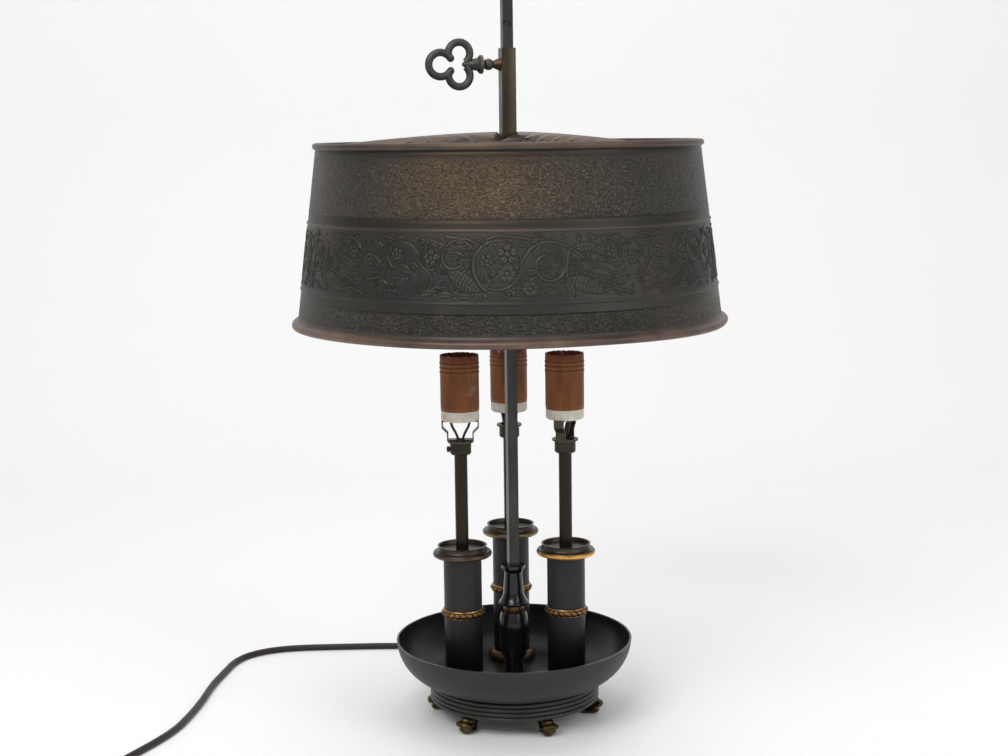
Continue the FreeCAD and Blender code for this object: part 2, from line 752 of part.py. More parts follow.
def make_stem():
    vase_top = dish_floor + size("VaseHeight")
    collar_top = vase_top + size("CollarHeight")
    seat = collar_top + size("CastingSeat")
    casting_top = collar_top + size("CastingHeight")
    side, top = size("StemSide"), size("StemTop")
    bar = box(side, side, seat, top)
    tail = cylinder(size("TailRadius"), nut_bottom - 0.5, seat)
    stud = cylinder(size("StudRadius"), top, top + size("StudLength"))
    stem = fuse(bar, tail, stud)
    place(stem, turn=stem_turn)
    node("stem", stem)
    vase = turned([
        (tail_hole, dish_floor),
        (size("VaseWaist") + 1.4, dish_floor),
        ("arc", size("VaseWaist"), dish_floor + size("VaseHeight") * 0.14),
        (size("VaseWaist") + 0.6, dish_floor + size("VaseHeight") * 0.25),
        ("arc", size("VaseRadius") - 0.5, dish_floor + size("VaseHeight") * 0.44),
        (size("VaseRadius"), dish_floor + size("VaseHeight") * 0.62),
        ("arc", size("VaseRadius") - 0.4, dish_floor + size("VaseHeight") * 0.92),
        (size("VaseRadius") - 1.8, vase_top),
        (tail_hole, vase_top),
    ])
    node("stem_vase", vase)
    collar_radius = size("CollarRadius")
    collar = turned([
        (tail_hole, vase_top),
        (collar_radius - 1, vase_top),
        ("arc", collar_radius, (vase_top + collar_top) / 2),
        (collar_radius - 1, collar_top),
        (tail_hole, collar_top),
    ])
    node("stem_collar", collar)
    height, neck = size("CastingHeight"), size("CastingNeck")
    casting = turned([
        (tail_hole, collar_top),
        (size("CastingFlare") - 0.5, collar_top),
        ("arc", size("CastingFlare"), collar_top + 1.2),
        (size("CastingFlare") - 0.8, collar_top + 2.4),
        ("arc", neck + 2.0, collar_top + height * 0.2),
        (neck + 1.0, collar_top + height * 0.4),
        (neck, collar_top + height * 0.76),
        ("arc", neck + 0.5, collar_top + height * 0.86),
        (size("CastingLip"), casting_top - 2.4),
        (size("CastingLip"), casting_top),
        (tail_hole, casting_top),
    ])
    socket_side = side + size("Clearance") * 2
    socket = box(socket_side, socket_side, seat, casting_top + 1)
    corner = socket_side / 2
    place(socket, -(corner * math.sqrt(2)) * math.cos(math.radians(45.0 + stem_turn)),
          -(corner * math.sqrt(2)) * math.sin(math.radians(45.0 + stem_turn)), seat, stem_turn)
    node("stem_casting", cut(casting, socket))
    radius, tall = size("FinialRadius"), size("FinialHeight")
    stud_hole = size("StudRadius") + size("Clearance")
    finial = turned([
        (stud_hole, top),
        (radius - 1, top),
        (radius - 1, top + tall * 0.12),
        (radius * 0.55, top + tall * 0.24),
        ("arc", radius, top + tall * 0.62),
        (radius * 0.36, top + tall * 0.95),
        (1.2, top + tall),
        (zero, top + tall),
        (zero, top + size("StudLength") + 0.5),
        (stud_hole, top + size("StudLength") + 0.5),
    ])
    node("finial", finial)


# Sliding shade


def make_slide_sleeve():
    side = size("SleeveSide")
    bore = size("StemSide") + size("SleeveFit") * 2
    low, high, key_height = size("SleeveBottom"), size("SleeveTop"), size("KeyHeight")
    tube = cut(box(side, side, low, high), box(bore, bore, low - 1, high + 1))
    boss = doc.addObject("Part::Cone", "Boss")
    boss_root = side / 2 - 0.4
    bind(boss, Radius1=size("BossRootRadius"), Radius2=size("BossTipRadius"), Height=size("BossTip") - boss_root)
    place(boss, -boss_root, z=key_height, tilt=Rotation(Vector(0, 1, 0), -90))
    tapped = doc.addObject("Part::Cylinder", "Tapped")
    bind(tapped, Radius=size("KeyShank") + size("Clearance") / 2, Height=size("BossTip") - bore / 2 + 2)
    place(tapped, -(bore / 2) + 1, z=key_height, tilt=Rotation(Vector(0, 1, 0), -90))
    sleeve = cut(fuse(tube, boss), tapped)
    place(sleeve, turn=stem_turn)
    node("slide_sleeve", sleeve)


def shade_radius(height):
    """The outside of the shade's wall at a height."""
    drop = (size("ShadeTop") - height) / (size("ShadeTop") - size("ShadeBottom"))
    return size("ShadeTopRadius") + (size("ShadeBottomRadius") - size("ShadeTopRadius")) * drop


def make_shade():
    """One sheet with a rolled bead at each edge and two raised ridges, drawn once round."""
    wall, ridge = size("ShadeWall"), size("RidgeRadius")
    top, bottom = size("ShadeTop"), size("ShadeBottom")
    top_bead, bottom_bead = size("TopBeadRadius"), size("BottomBeadRadius")
    points = [
        (shade_radius(top) - wall, top + top_bead * 0.9),
        ("arc", shade_radius(top) + top_bead, top + top_bead * 0.1),
        (shade_radius(top - top_bead), top - top_bead),
    ]
    for depth in (size("UpperRidge"), size("LowerRidge")):
        middle = top - depth
        points += [
            (shade_radius(middle + ridge), middle + ridge),
            ("arc", shade_radius(middle) + ridge, middle),
            (shade_radius(middle - ridge), middle - ridge),
        ]
    flare = bottom + bottom_bead * 2.4
    points += [
        (shade_radius(flare), flare),
        (shade_radius(bottom) + 1.6, bottom + bottom_bead * 0.9),
        ("arc", shade_radius(bottom) + 1.8 + bottom_bead, bottom),
        (shade_radius(bottom) + 1.2, bottom - bottom_bead),
        (shade_radius(bottom) - wall, bottom - bottom_bead * 0.6),
        (shade_radius(flare) - wall, flare),
    ]
    node("shade", turned(points, name="Shade"))


def make_spider():
    """Three arched arms on a hub, each turned down against the wall of the shade."""
    thickness, hub = size("SpiderThickness"), size("SpiderHubRadius")
    rim_height = size("ShadeTop") - 2
    crown = rim_height + size("SpiderRise")
    tab_bottom = rim_height - size("SpiderTab")
    tip = shade_radius(rim_height) - size("ShadeWall") - size("LooseClearance")
    shoulder = hub * 0.9
    quarter = tip * 0.55
    arms = []
    for index in range(3):
        strip = padded([
            (zero, crown), (shoulder, crown),
            ("arc", quarter, crown - size("SpiderRise") * 0.36),
            (tip, rim_height),
            (tip, tab_bottom),
            (tip - thickness, tab_bottom),
            (tip - thickness, rim_height - thickness),
            ("arc", quarter, crown - size("SpiderRise") * 0.36 - thickness),
            (shoulder, crown - thickness), (zero, crown - thickness),
        ], size("SpiderRootWidth") * 2, name="ArchedStrip")
        half_root, half_tip = size("SpiderRootWidth") / 2, size("SpiderTipWidth") / 2
        leaf = padded([
            (zero, -half_tip), (hub, -half_tip), ("arc", tip * 0.3, -half_root), (tip * 0.62, -(half_tip * 1.15)),
            (tip + 1, -half_tip), (tip + 1, half_tip), (tip * 0.62, half_tip * 1.15),
            ("arc", tip * 0.3, half_root), (hub, half_tip), (zero, half_tip),
        ], size("ShadeTop") * 2.2, role="XY_Plane", name="Leaf")
        arm = common(strip, leaf)
        place(arm, turn=SIZES["SpiderBearing"] + 120.0 * index - 90.0)
        arms.append(arm)
    disc = cylinder(hub, crown - thickness, crown)
    hole_side = size("SleeveSide") + size("Clearance")
    corner = hole_side / 2 * math.sqrt(2)
    hole = box(hole_side, hole_side, tab_bottom, crown + 5)
    place(hole, -corner * math.cos(math.radians(45.0 + stem_turn)),
          -corner * math.sin(math.radians(45.0 + stem_turn)), tab_bottom, stem_turn)
    rivet_height = tab_bottom + size("SpiderTab") * 0.45
    holes, rivets = [], []
    for index in range(3):
        bearing = SIZES["SpiderBearing"] + 120.0 * index
        hole_length = size("SpiderThickness") + 4
        across, along = direction(bearing)
        sideways = Rotation(Vector(0, 1, 0), 90)
        drilled = doc.addObject("Part::Cylinder", "Drilled")
        bind(drilled, Radius=size("RivetRadius") + size("Clearance"), Height=hole_length)
        start = tip - thickness - 2
        holes.append(place(drilled, start * across, start * along, rivet_height, bearing - 90.0, sideways))
        rivet = doc.addObject("Part::Cylinder", "Rivet")
        end = shade_radius(rivet_height) - size("ShadeWall") - size("LooseClearance")
        bind(rivet, Radius=size("RivetRadius"), Height=end - tip + thickness + 0.8)
        begin = tip - thickness - 0.8
        rivets.append(place(rivet, begin * across, begin * along, rivet_height, bearing - 90.0, sideways))
    node("spider", cut(fuse(disc, *arms), hole, *holes))
    node("spider_rivets", group(*rivets))


# Key screw


def make_key():
    """A cast thumbscrew with a trefoil handle. Its own axis is +X here, and it is then turned onto the boss."""
    shank, ball = size("KeyShank"), size("KeyBallRadius")
    ball_out, collar_out, tip_out = size("KeyBallOut"), size("KeyCollarOut"), size("KeyTipOut")
    collar = size("KeyCollarRadius")
    start = size("StemSide") / 2 + size("SleeveFit")
    post = turned([
        (zero, start),
        (shank, start),
        (shank, ball_out - ball * 0.78),
        ("arc", ball, ball_out),
        (shank * 1.1, collar_out - 2.4),
        (collar, collar_out - 1),
        (collar, collar_out + 1),
        (collar * 0.7, collar_out + 3),
        (collar * 0.6, collar_out + 6.4),
        (1.8, tip_out - 0.8),
        (1.0, tip_out),
        (zero, tip_out),
    ], name="KeyPost")
    place(post, tilt=Rotation(Vector(0, 1, 0), 90))
    pieces = [post]
    lobes = [
        (size("KeyEndLobeOut"), zero, size("KeyEndLobeRadius"), -149.0, 298.0),
        (size("KeySideLobeOut"), size("KeySideLobeRise"), size("KeySideLobeRadius"), -17.0, 250.0),
        (size("KeySideLobeOut"), -size("KeySideLobeRise"), size("KeySideLobeRadius"), -233.0, 250.0),
    ]
    for out, rise, radius, first, sweep in lobes:
        ring = doc.addObject("Part::Torus", "Lobe")
        bind(ring, Radius1=radius, Radius2=size("KeyBarRadius"))
        ring.Angle3 = sweep
        stand = Rotation(Vector(1, 0, 0), 90) * Rotation(Vector(0, 0, 1), first)
        ring.Placement = Placement(Vector(out.value, 0, rise.value), stand)
        ring.setExpression("Placement.Base.x", out.formula)
        ring.setExpression("Placement.Base.z", rise.formula)
        pieces.append(ring)
    for rise in (1.0, -1.0):
        knot = doc.addObject("Part::Sphere", "Cusp")
        bind(knot, Radius=size("KeyBarRadius"))
        half_way = (size("KeyEndLobeOut") + size("KeySideLobeOut")) / 2
        place(knot, half_way - 0.6, z=size("KeySideLobeRise") * 0.56 * rise)
        pieces.append(knot)
    key = fuse(*pieces)
    place(key, z=size("KeyHeight"), turn=180.0 + stem_turn)
    node("key_screw", key)


# Cord, coil and plug


CORD_ROUTE = [
    (0, 70, 21), (0, 106, 20.8), (-3, 124, 16), (-11, 141, 8), (-28, 157, 2.7), (-56, 168, 2.7),
    (-98, 173, 2.7), (-150, 174, 2.7), (-198, 173.5, 2.7), (-226, 162, 2.7), (-242, 141, 2.7),
    (-248, 108, 2.7), (-254.5, 72, 2.7), (-257, 36, 2.7), (-262, 0, 2.7), (-269, -34, 2.7),
    (-283, -66, 2.7), (-298, -94, 2.7), (-308, -122, 2.7), (-308, -148, 2.7),
]
COIL_ENTRY = (-308.0, -148.0)
COIL_LEAD = 24.0


def arc_from(start, heading, finish):
    """The arc that leaves start along heading and ends at finish."""
    chord = finish - start
    along = unit(chord)
    side = heading - along * heading.dot(along)
    half_angle = heading.getAngle(chord)
    middle = start + chord * 0.5 + unit(side) * (chord.Length / 2 * math.tan(half_angle / 2))
    return Part.Arc(start, middle, finish).toShape()


def biarc(start, heading, finish, ending):
    """Two arcs that join two points with the headings given there."""
    span, both = finish - start, heading + ending
    slack = 2 * (1 - heading.dot(ending))
    reach = (-span.dot(both) + math.sqrt(span.dot(both) ** 2 + slack * span.dot(span))) / slack
    joint = (start + heading * reach + finish - ending * reach) * 0.5
    tangent = unit(finish - ending * reach - start - heading * reach)
    return [arc_from(start, heading, joint), arc_from(joint, tangent, finish)]


def coil_path():
    """Half turns that shrink by half a pitch each, a climb, and half turns that grow again above them."""
    radius, step = SIZES["CoilOuterRadius"], SIZES["CoilPitch"] / 2
    low = SIZES["CordDiameter"] / 2
    high = low + SIZES["CoilLayerRise"]
    back = COIL_ENTRY[1] - COIL_LEAD
    left = Vector(COIL_ENTRY[0], back, low)
    edges = [Part.LineSegment(Vector(*COIL_ENTRY, low), left).toShape()]
    place_now, way = left, 1

    def half_turn(size_now, height):
        nonlocal place_now, way
        centre = place_now + Vector(way * size_now, 0, 0)
        middle = centre + Vector(0, -way * size_now, 0)
        finish = centre + Vector(way * size_now, 0, 0)
        edges.append(Part.Arc(place_now, middle, finish).toShape())
        place_now, way = finish, -way

    for turn in range(COIL_HALF_TURNS):
        half_turn(radius - step * turn, low)
    inner = radius - step * COIL_HALF_TURNS
    centre = place_now + Vector(way * inner, 0, 0)
    half_up = (low + high) / 2
    crest = centre + Vector(0, -way * inner, half_up - low)
    slope = unit(Vector(way * math.pi * inner / 2, 0, (high - low) / 2 * 1.5))
    top = centre + Vector(way * inner, 0, high - low)
    edges.extend(biarc(place_now, Vector(0, -way, 0), crest, slope))
    edges.extend(biarc(crest, slope, top, Vector(0, way, 0)))
    place_now, way = top, -way
    for turn in range(COIL_HALF_TURNS - 1, 0, -1):
        half_turn(radius - step * turn, high)
    tail = place_now + Vector(0, -COIL_LEAD, 0)
    edges.append(Part.LineSegment(place_now, tail).toShape())
    return Part.Wire(edges), tail


def least_gap(wire, diameter):
    """The least distance between stretches of the tube that are not neighbours along it."""
    points = wire.discretize(Distance=4.0)
    apart = int(12 * diameter / 4.0)
    return min(a.distanceToPoint(b) for i, a in enumerate(points) for b in points[i + apart:]) - diameter


def make_cord():
    diameter = SIZES["CordDiameter"]
    node("cord", feature(swept(rounded_path(CORD_ROUTE, "cord"), diameter / 2), "Cord"))
    path, tail = coil_path()
    node("cord_coil", feature(swept(path, diameter / 2), "Coil"))
    print(f"coil: length {path.Length:.1f}, least gap to itself {least_gap(path, diameter):.2f}")
    make_bushing()
    make_plug(tail)


def make_bushing():
    """A tapered sleeve in the back of the foot ring, which the cord leaves."""
    bore = size("CordDiameter") / 2 + size("Clearance")
    wall_out = size("RingRadius") + size("ReedDepth") + size("Clearance")
    flange = size("BushingFlange")
    bushing = turned([
        (bore, ring_inner - 1),
        (size("BushingRadius"), ring_inner - 1),
        (size("BushingRadius"), wall_out),
        (flange, wall_out),
        (flange, wall_out + 1.6),
        (size("BushingRadius") + 0.4, wall_out + 2.4),
        (bore + 0.8, wall_out + size("BushingNose")),
        (bore, wall_out + size("BushingNose")),
    ], name="Bushing")
    place(bushing, z=size("CordExitHeight"), tilt=Rotation(Vector(1, 0, 0), -90))
    node("cord_bushing", bushing)


def make_plug(tail):
    length, radius = size("PlugLength"), size("PlugRadius")
    neck = size("CordDiameter") / 2 + 1.4
    body = turned([
        (zero, zero), (neck, zero), (neck + 0.6, length * 0.2),
        ("arc", radius * 0.8, length * 0.45),
        (radius, length * 0.62), (radius, length - 0.8), (radius - 0.8, length), (zero, length),
    ], name="PlugBody")
    along = Rotation(Vector(1, 0, 0), 90)
    place(body, tail.x, tail.y, tail.z, tilt=along)
    node("plug", body)
    blades = []
    for side in (0.5, -0.5):
        blade = doc.addObject("Part::Box", "Blade")
        bind(blade, Length=size("BladeThickness"), Width=size("BladeLength"), Height=size("BladeWidth"))
        place(blade, size("BladeSpacing") * side - size("BladeThickness") / 2 + tail.x,
              -length - size("BladeLength") + tail.y, -(size("BladeWidth") / 2) + tail.z)
        blades.append(blade)
    node("plug_blades", group(*blades))


def check_and_export():
    doc.recompute()
    bad = [thing.Label for thing in doc.Objects if {"Invalid", "Error"} & set(thing.State)]
    if bad:
        raise RuntimeError(f"not built: {bad}")
    os.makedirs("parts", exist_ok=True)
    for name, piece in nodes.items():
        shape = piece.Shape
        if shape.isNull() or not shape.isValid() or not shape.Solids:
            raise RuntimeError(f"{name} has no valid solid")
        shape.exportStep(f"parts/{name}.step")
    print(f"{len(nodes)} pieces")


make_dish()
make_foot_ring()
make_weight()
make_feet()
make_lock_nuts()
make_sockets()
make_stem()
make_slide_sleeve()
make_shade()
make_spider()
make_key()
make_cord()
check_and_export()
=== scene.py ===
import random
from math import asin, atan2, cos, exp, hypot, pi, radians, sin, sqrt

import bpy
import numpy as np
from mathutils import Matrix, Vector


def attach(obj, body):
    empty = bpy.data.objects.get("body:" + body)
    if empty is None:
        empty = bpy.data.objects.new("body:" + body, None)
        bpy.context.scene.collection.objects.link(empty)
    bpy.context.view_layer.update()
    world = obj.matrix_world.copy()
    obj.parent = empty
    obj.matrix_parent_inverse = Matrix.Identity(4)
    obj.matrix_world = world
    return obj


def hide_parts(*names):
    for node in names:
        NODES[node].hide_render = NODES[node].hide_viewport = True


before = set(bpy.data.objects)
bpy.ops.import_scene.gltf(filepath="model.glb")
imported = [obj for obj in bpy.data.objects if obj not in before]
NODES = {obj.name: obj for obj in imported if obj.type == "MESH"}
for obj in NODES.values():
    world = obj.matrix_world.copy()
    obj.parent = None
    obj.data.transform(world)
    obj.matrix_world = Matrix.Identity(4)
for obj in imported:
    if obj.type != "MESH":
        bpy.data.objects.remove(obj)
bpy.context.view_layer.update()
MM = 0.001

CANDLES = {"left": -60.0, "right": 60.0, "rear": 180.0}
CANDLE_CIRCLE = 47.0
REAR_DROP = 5.0


def around(bearing, radius):
    """A point on a circle round the stem, in mm. The bearing runs from the front towards +X."""
    return radius * sin(radians(bearing)), -radius * cos(radians(bearing))


def new_object(name, data):
    piece = bpy.data.objects.new(name, data)
    bpy.context.scene.collection.objects.link(piece)
    return piece


# Camera, as fitted to the photograph

camera_data = bpy.data.cameras.new("Camera")
camera_data.sensor_width = 36.0
camera_data.lens = 60.28
camera_data.clip_start = 0.01
camera = new_object("Camera", camera_data)
camera.matrix_world = (
    Matrix.Translation(Vector((-51.35, -1314.6, 467.8)) * MM)
    @ Matrix.Rotation(radians(-2.0), 4, "Z")
    @ Matrix.Rotation(radians(90.0 - 8.427), 4, "X")
    @ Matrix.Rotation(radians(-0.735), 4, "Z")
)
bpy.context.scene.camera = camera


# Materials


class Paint:
    """A procedural material, and the colour it has been given so far."""

    def __init__(self, name):
        self.material = bpy.data.materials.new(name)
        self.material.use_nodes = True
        self.tree = self.material.node_tree
        self.tree.nodes.clear()
        output = self.add("OutputMaterial")
        self.shader = self.add("BsdfPrincipled")
        self.link(self.shader.outputs[0], output.inputs["Surface"])
        self.where = self.add("TexCoord").outputs["Object"]
        self.colour = None

    def add(self, kind, **fields):
        made = self.tree.nodes.new("ShaderNode" + kind)
        for field, value in fields.items():
            setattr(made, field, value)
        return made

    def link(self, a, b):
        self.tree.links.new(a, b)

    def feed(self, socket, value):
        """Links another node's output, or sets a colour or a number."""
        if hasattr(value, "is_output"):
            self.link(value, socket)
        elif isinstance(value, tuple):
            socket.default_value = (*value, 1.0)
        else:
            socket.default_value = value

    def fill(self, node, **values):
        """Feeds a node's sockets. An underscore stands for a space in a socket's name."""
        for name, value in values.items():
            self.feed(node.inputs[name.replace("_", " ")], value)

    def noise(self, scale, detail=4.0, rough=0.55, stretch=None, distortion=0.0):
        made = self.add("TexNoise")
        self.fill(made, Scale=scale, Detail=detail, Roughness=rough, Distortion=distortion)
        self.link(self.mapped("Scale", stretch) if stretch else self.where, made.inputs["Vector"])
        return made.outputs["Fac"]

    def mapped(self, name, vector):
        mapping = self.add("Mapping")
        mapping.inputs[name].default_value = vector
        self.link(self.where, mapping.inputs["Vector"])
        return mapping.outputs[0]

    def span(self, value, low, high, to_low=0.0, to_high=1.0):
        made = self.add("MapRange", clamp=True)
        self.link(value, made.inputs["Value"])
        self.fill(made, From_Min=low, From_Max=high, To_Min=to_low, To_Max=to_high)
        return made.outputs["Result"]

    def spread(self, noise, low, high):
        """A noise's usual values, brought to a range."""
        return self.span(noise, 0.3, 0.7, low, high)

    def math(self, operation, a, b=0.0, clamp=False):
        made = self.add("Math", operation=operation, use_clamp=clamp)
        self.feed(made.inputs[0], a)
        self.feed(made.inputs[1], b)
        return made.outputs[0]

    def times(self, a, b, clamp=False):
        return self.math("MULTIPLY", a, b, clamp)

    def mix(self, factor, a, b):
        made = self.add("Mix", data_type="RGBA", blend_type="MIX")
        for socket, value in ((made.inputs[0], factor), (made.inputs[6], a), (made.inputs[7], b)):
            self.feed(socket, value)
        return made.outputs[2]

    def axes(self, vector=None):
        made = self.add("SeparateXYZ")
        self.link(self.where if vector is None else vector, made.inputs[0])
        return made.outputs

    def geometry(self, output):
        return self.add("NewGeometry").outputs[output]

    def edges(self, low=0.52, high=0.62):
        """Where the form is sharply convex: rubbed edges, which some materials also tint as painted
        highlights.
        """
        return self.span(self.geometry("Pointiness"), low, high)

    def hollows(self, low=0.42, high=0.49):
        return self.span(self.geometry("Pointiness"), low, high, 1.0, 0.0)

    def attribute(self, name):
        return self.add("Attribute", attribute_name=name).outputs["Fac"]

    def tones(self, value, low, high, dark, light):
        """Starts the colour with two tones, mixed by a noise."""
        self.colour = self.mix(self.span(value, low, high), dark, light)

    def tint(self, mask, tone, amount=None):
        """Lays a tone over the colour so far."""
        self.colour = self.mix(mask if amount is None else self.times(mask, amount), self.colour, tone)

    def bump(self, *layers):
        """Layers are (height, distance in metres, strength)."""
        normal = None
        for value, distance, strength in layers:
            made = self.add("Bump")
            self.fill(made, Distance=distance, Strength=strength, Height=value)
            if normal is not None:
                self.link(normal, made.inputs["Normal"])
            normal = made.outputs["Normal"]
        self.link(normal, self.shader.inputs["Normal"])

    def done(self, **values):
        """Sets the shader's sockets, and gives the material."""
        self.fill(self.shader, Base_Color=self.colour, **values)
        return self.material


def scaled(tone, factor):
    return tuple(min(1.0, c * factor) for c in tone)


def metal_paint(name, dark, light, worn, rough, metallic, edge_tint_amount=0.35, grain=0.00004, scale=90.0, **more):
    """Lacquered or patinated metal: two tones in soft clouds, rubbed edges, fine specks, brushed bump."""
    p = Paint(name)
    cloud = p.noise(scale * 0.35, 5, 0.6)
    fine = p.noise(scale * 9, 3, 0.6)
    p.tones(cloud, 0.35, 0.68, dark, light)
    p.tint(p.span(fine, 0.62, 0.78), worn, 0.35)
    rub = p.times(p.edges(), p.span(p.noise(scale * 1.4, 4), 0.36, 0.62), clamp=True)
    p.tint(rub, worn, edge_tint_amount)
    p.bump((fine, grain, 0.5), (p.noise(scale * 2, 3), grain * 3.0, 0.5))
    clouded = p.spread(cloud, rough - 0.07, rough + 0.09)
    roughness = p.math("ADD", clouded, p.spread(fine, -0.03, 0.03))
    return p.done(Metallic=metallic, Roughness=p.math("SUBTRACT", roughness, p.times(rub, 0.12)), **more)


def tube_paint():
    """Even satin lacquer: charcoal above, deepening to blue-black towards the dish."""
    p = Paint("tube_lacquer")
    upper, lower = (0.0175, 0.0178, 0.0183), (0.0022, 0.0024, 0.0040)
    cloud = p.noise(30, 4, 0.6)
    p.tones(cloud, 0.36, 0.66, scaled(upper, 0.86), upper)
    deep = p.span(p.axes()["Z"], 0.092, 0.050)
    p.tint(p.math("POWER", deep, 0.8), lower)
    p.bump((p.noise(900, 3, 0.6), 0.00002, 0.5))
    roughness = p.math("SUBTRACT", p.spread(cloud, 0.40, 0.48), p.times(deep, 0.12))
    return p.done(Metallic=0.1, Specular_IOR_Level=0.3, Roughness=roughness)


def dish_paint():
    """Charcoal lacquer outside; the inside is smoother, and painted darker as shade."""
    p = Paint("dish_lacquer")
    cloud = p.noise(16, 4, 0.6)
    smear = p.noise(24, 4, 0.6, stretch=(1, 1, 3))
    inside = p.span(p.axes(p.geometry("Normal"))["Z"], 0.02, 0.14)
    p.tones(cloud, 0.36, 0.66, (0.0195, 0.0197, 0.020), (0.0255, 0.0257, 0.026))
    # Painted shade: the inside, facing up, is darker
    p.tint(inside, p.mix(p.span(smear, 0.35, 0.65), (0.006, 0.0062, 0.0075), (0.0115, 0.0118, 0.0135)))
    p.tint(p.edges(0.54, 0.62), (0.075, 0.06, 0.045), 0.4)
    p.bump((p.noise(900, 3, 0.6), 0.00002, 0.5))
    roughness = p.math("SUBTRACT", p.spread(cloud, 0.44, 0.52), p.times(inside, 0.17))
    return p.done(Metallic=0.1, Specular_IOR_Level=0.32, Roughness=roughness)


def aged_brass(name, dark, mid, bright, edge_tint_amount=1.0, rough=0.34):
    """Cast brass: dark in the hollows, spotted, and bright where it is convex, as rubbed brass and as a
    painted highlight.
    """
    p = Paint(name)
    cloud = p.noise(55, 5, 0.62)
    spots = p.noise(420, 4, 0.6)
    p.tones(cloud, 0.34, 0.66, dark, mid)
    # Bright on convex edges: rubbed brass, and a painted highlight
    rub = p.times(p.edges(0.515, 0.56), p.span(p.noise(160, 4), 0.3, 0.55), clamp=True)
    p.tint(rub, bright, edge_tint_amount)
    p.tint(p.hollows(), scaled(dark, 0.25), 0.85)
    p.tint(p.span(spots, 0.6, 0.74), scaled(dark, 0.4), 0.5)
    p.bump((spots, 0.00005, 0.5), (p.noise(120, 3), 0.00015, 0.4))
    roughness = p.math("SUBTRACT", p.spread(cloud, rough, rough + 0.16), p.times(rub, 0.1))
    return p.done(Metallic=0.9, Roughness=roughness)


def brown_bronze(name, dark, light, streak, rough=0.36):
    """Drawn tube or strap with long streaks of brown."""
    p = Paint(name)
    streaks = p.noise(60, 5, 0.6, stretch=(9, 9, 0.6))
    p.tones(p.noise(45, 4, 0.6), 0.36, 0.66, dark, light)
    p.tint(p.span(streaks, 0.5, 0.72), streak, 0.6)
    p.tint(p.edges(), scaled(streak, 1.9), 0.5)
    p.bump((streaks, 0.00006, 0.5), (p.noise(900, 3), 0.00003, 0.5))
    return p.done(Metallic=0.75, Roughness=p.spread(streaks, rough - 0.06, rough + 0.12))


def stem_steel():
    p = Paint("stem_grey_metal")
    streaks = p.noise(70, 5, 0.62, stretch=(12, 12, 0.35))
    cloud = p.noise(20, 5, 0.6, stretch=(4, 4, 1))
    p.tones(cloud, 0.35, 0.66, (0.034, 0.035, 0.033), (0.062, 0.065, 0.061))
    p.tint(p.span(streaks, 0.55, 0.75), (0.020, 0.020, 0.019), 0.5)
    p.tint(p.edges(0.53, 0.6), (0.20, 0.21, 0.20), 0.35)
    # Dark scratches in a narrow band above the sleeve
    z = p.axes()["Z"]
    band = p.times(p.span(z, 0.544, 0.545), p.span(z, 0.549, 0.550, 1, 0))
    p.tint(p.times(p.span(p.noise(260, 2), 0.45, 0.6), band), (0.012, 0.010, 0.009), 0.8)
    p.bump((streaks, 0.00006, 0.4), (p.noise(700, 3), 0.00003, 0.5))
    return p.done(Metallic=0.75, Roughness=p.spread(streaks, 0.30, 0.44))


def sleeve_bronze():
    p = Paint("sleeve_bronze")
    streaks = p.noise(60, 5, 0.62, stretch=(8, 8, 0.5))
    cloud = p.noise(38, 5, 0.62)
    p.tones(cloud, 0.34, 0.66, (0.034, 0.024, 0.015), (0.068, 0.044, 0.025))
    p.tint(p.span(streaks, 0.5, 0.72), (0.028, 0.027, 0.022), 0.7)
    # Painted light: the left face, which faces the key light, is painted greyer than the others
    p.tint(p.span(p.axes(p.geometry("Normal"))["X"], -0.5, -0.9), (0.052, 0.060, 0.055))
    p.tint(p.edges(0.53, 0.6), (0.16, 0.14, 0.11), 0.5)
    # The boss that the key screws into is copper brown
    x, y, z = p.axes()
    reach = p.math("SQRT", p.math("ADD", p.math("POWER", x, 2.0), p.math("POWER", y, 2.0)))
    boss = p.times(p.span(reach, 0.0079, 0.0083), p.span(z, 0.509, 0.5105))
    p.tint(p.times(boss, p.span(z, 0.5215, 0.523, 1, 0)), (0.085, 0.034, 0.019))
    p.bump((streaks, 0.00006, 0.4), (p.noise(700, 3), 0.00004, 0.5))
    return p.done(Metallic=0.7, Roughness=p.spread(cloud, 0.30, 0.46))


def key_iron():
    p = Paint("key_gunmetal")
    grit = p.noise(620, 5, 0.65)
    p.tones(p.noise(70, 4, 0.6), 0.34, 0.66, (0.050, 0.050, 0.047), (0.082, 0.080, 0.074))
    p.tint(p.edges(0.52, 0.58), (0.17, 0.16, 0.14), 0.5)
    p.tint(p.hollows(0.44, 0.49), (0.03, 0.019, 0.013), 0.6)
    p.bump((grit, 0.00012, 0.45), (p.noise(180, 3), 0.0002, 0.35))
    return p.done(Metallic=0.7, Roughness=p.spread(grit, 0.38, 0.56))


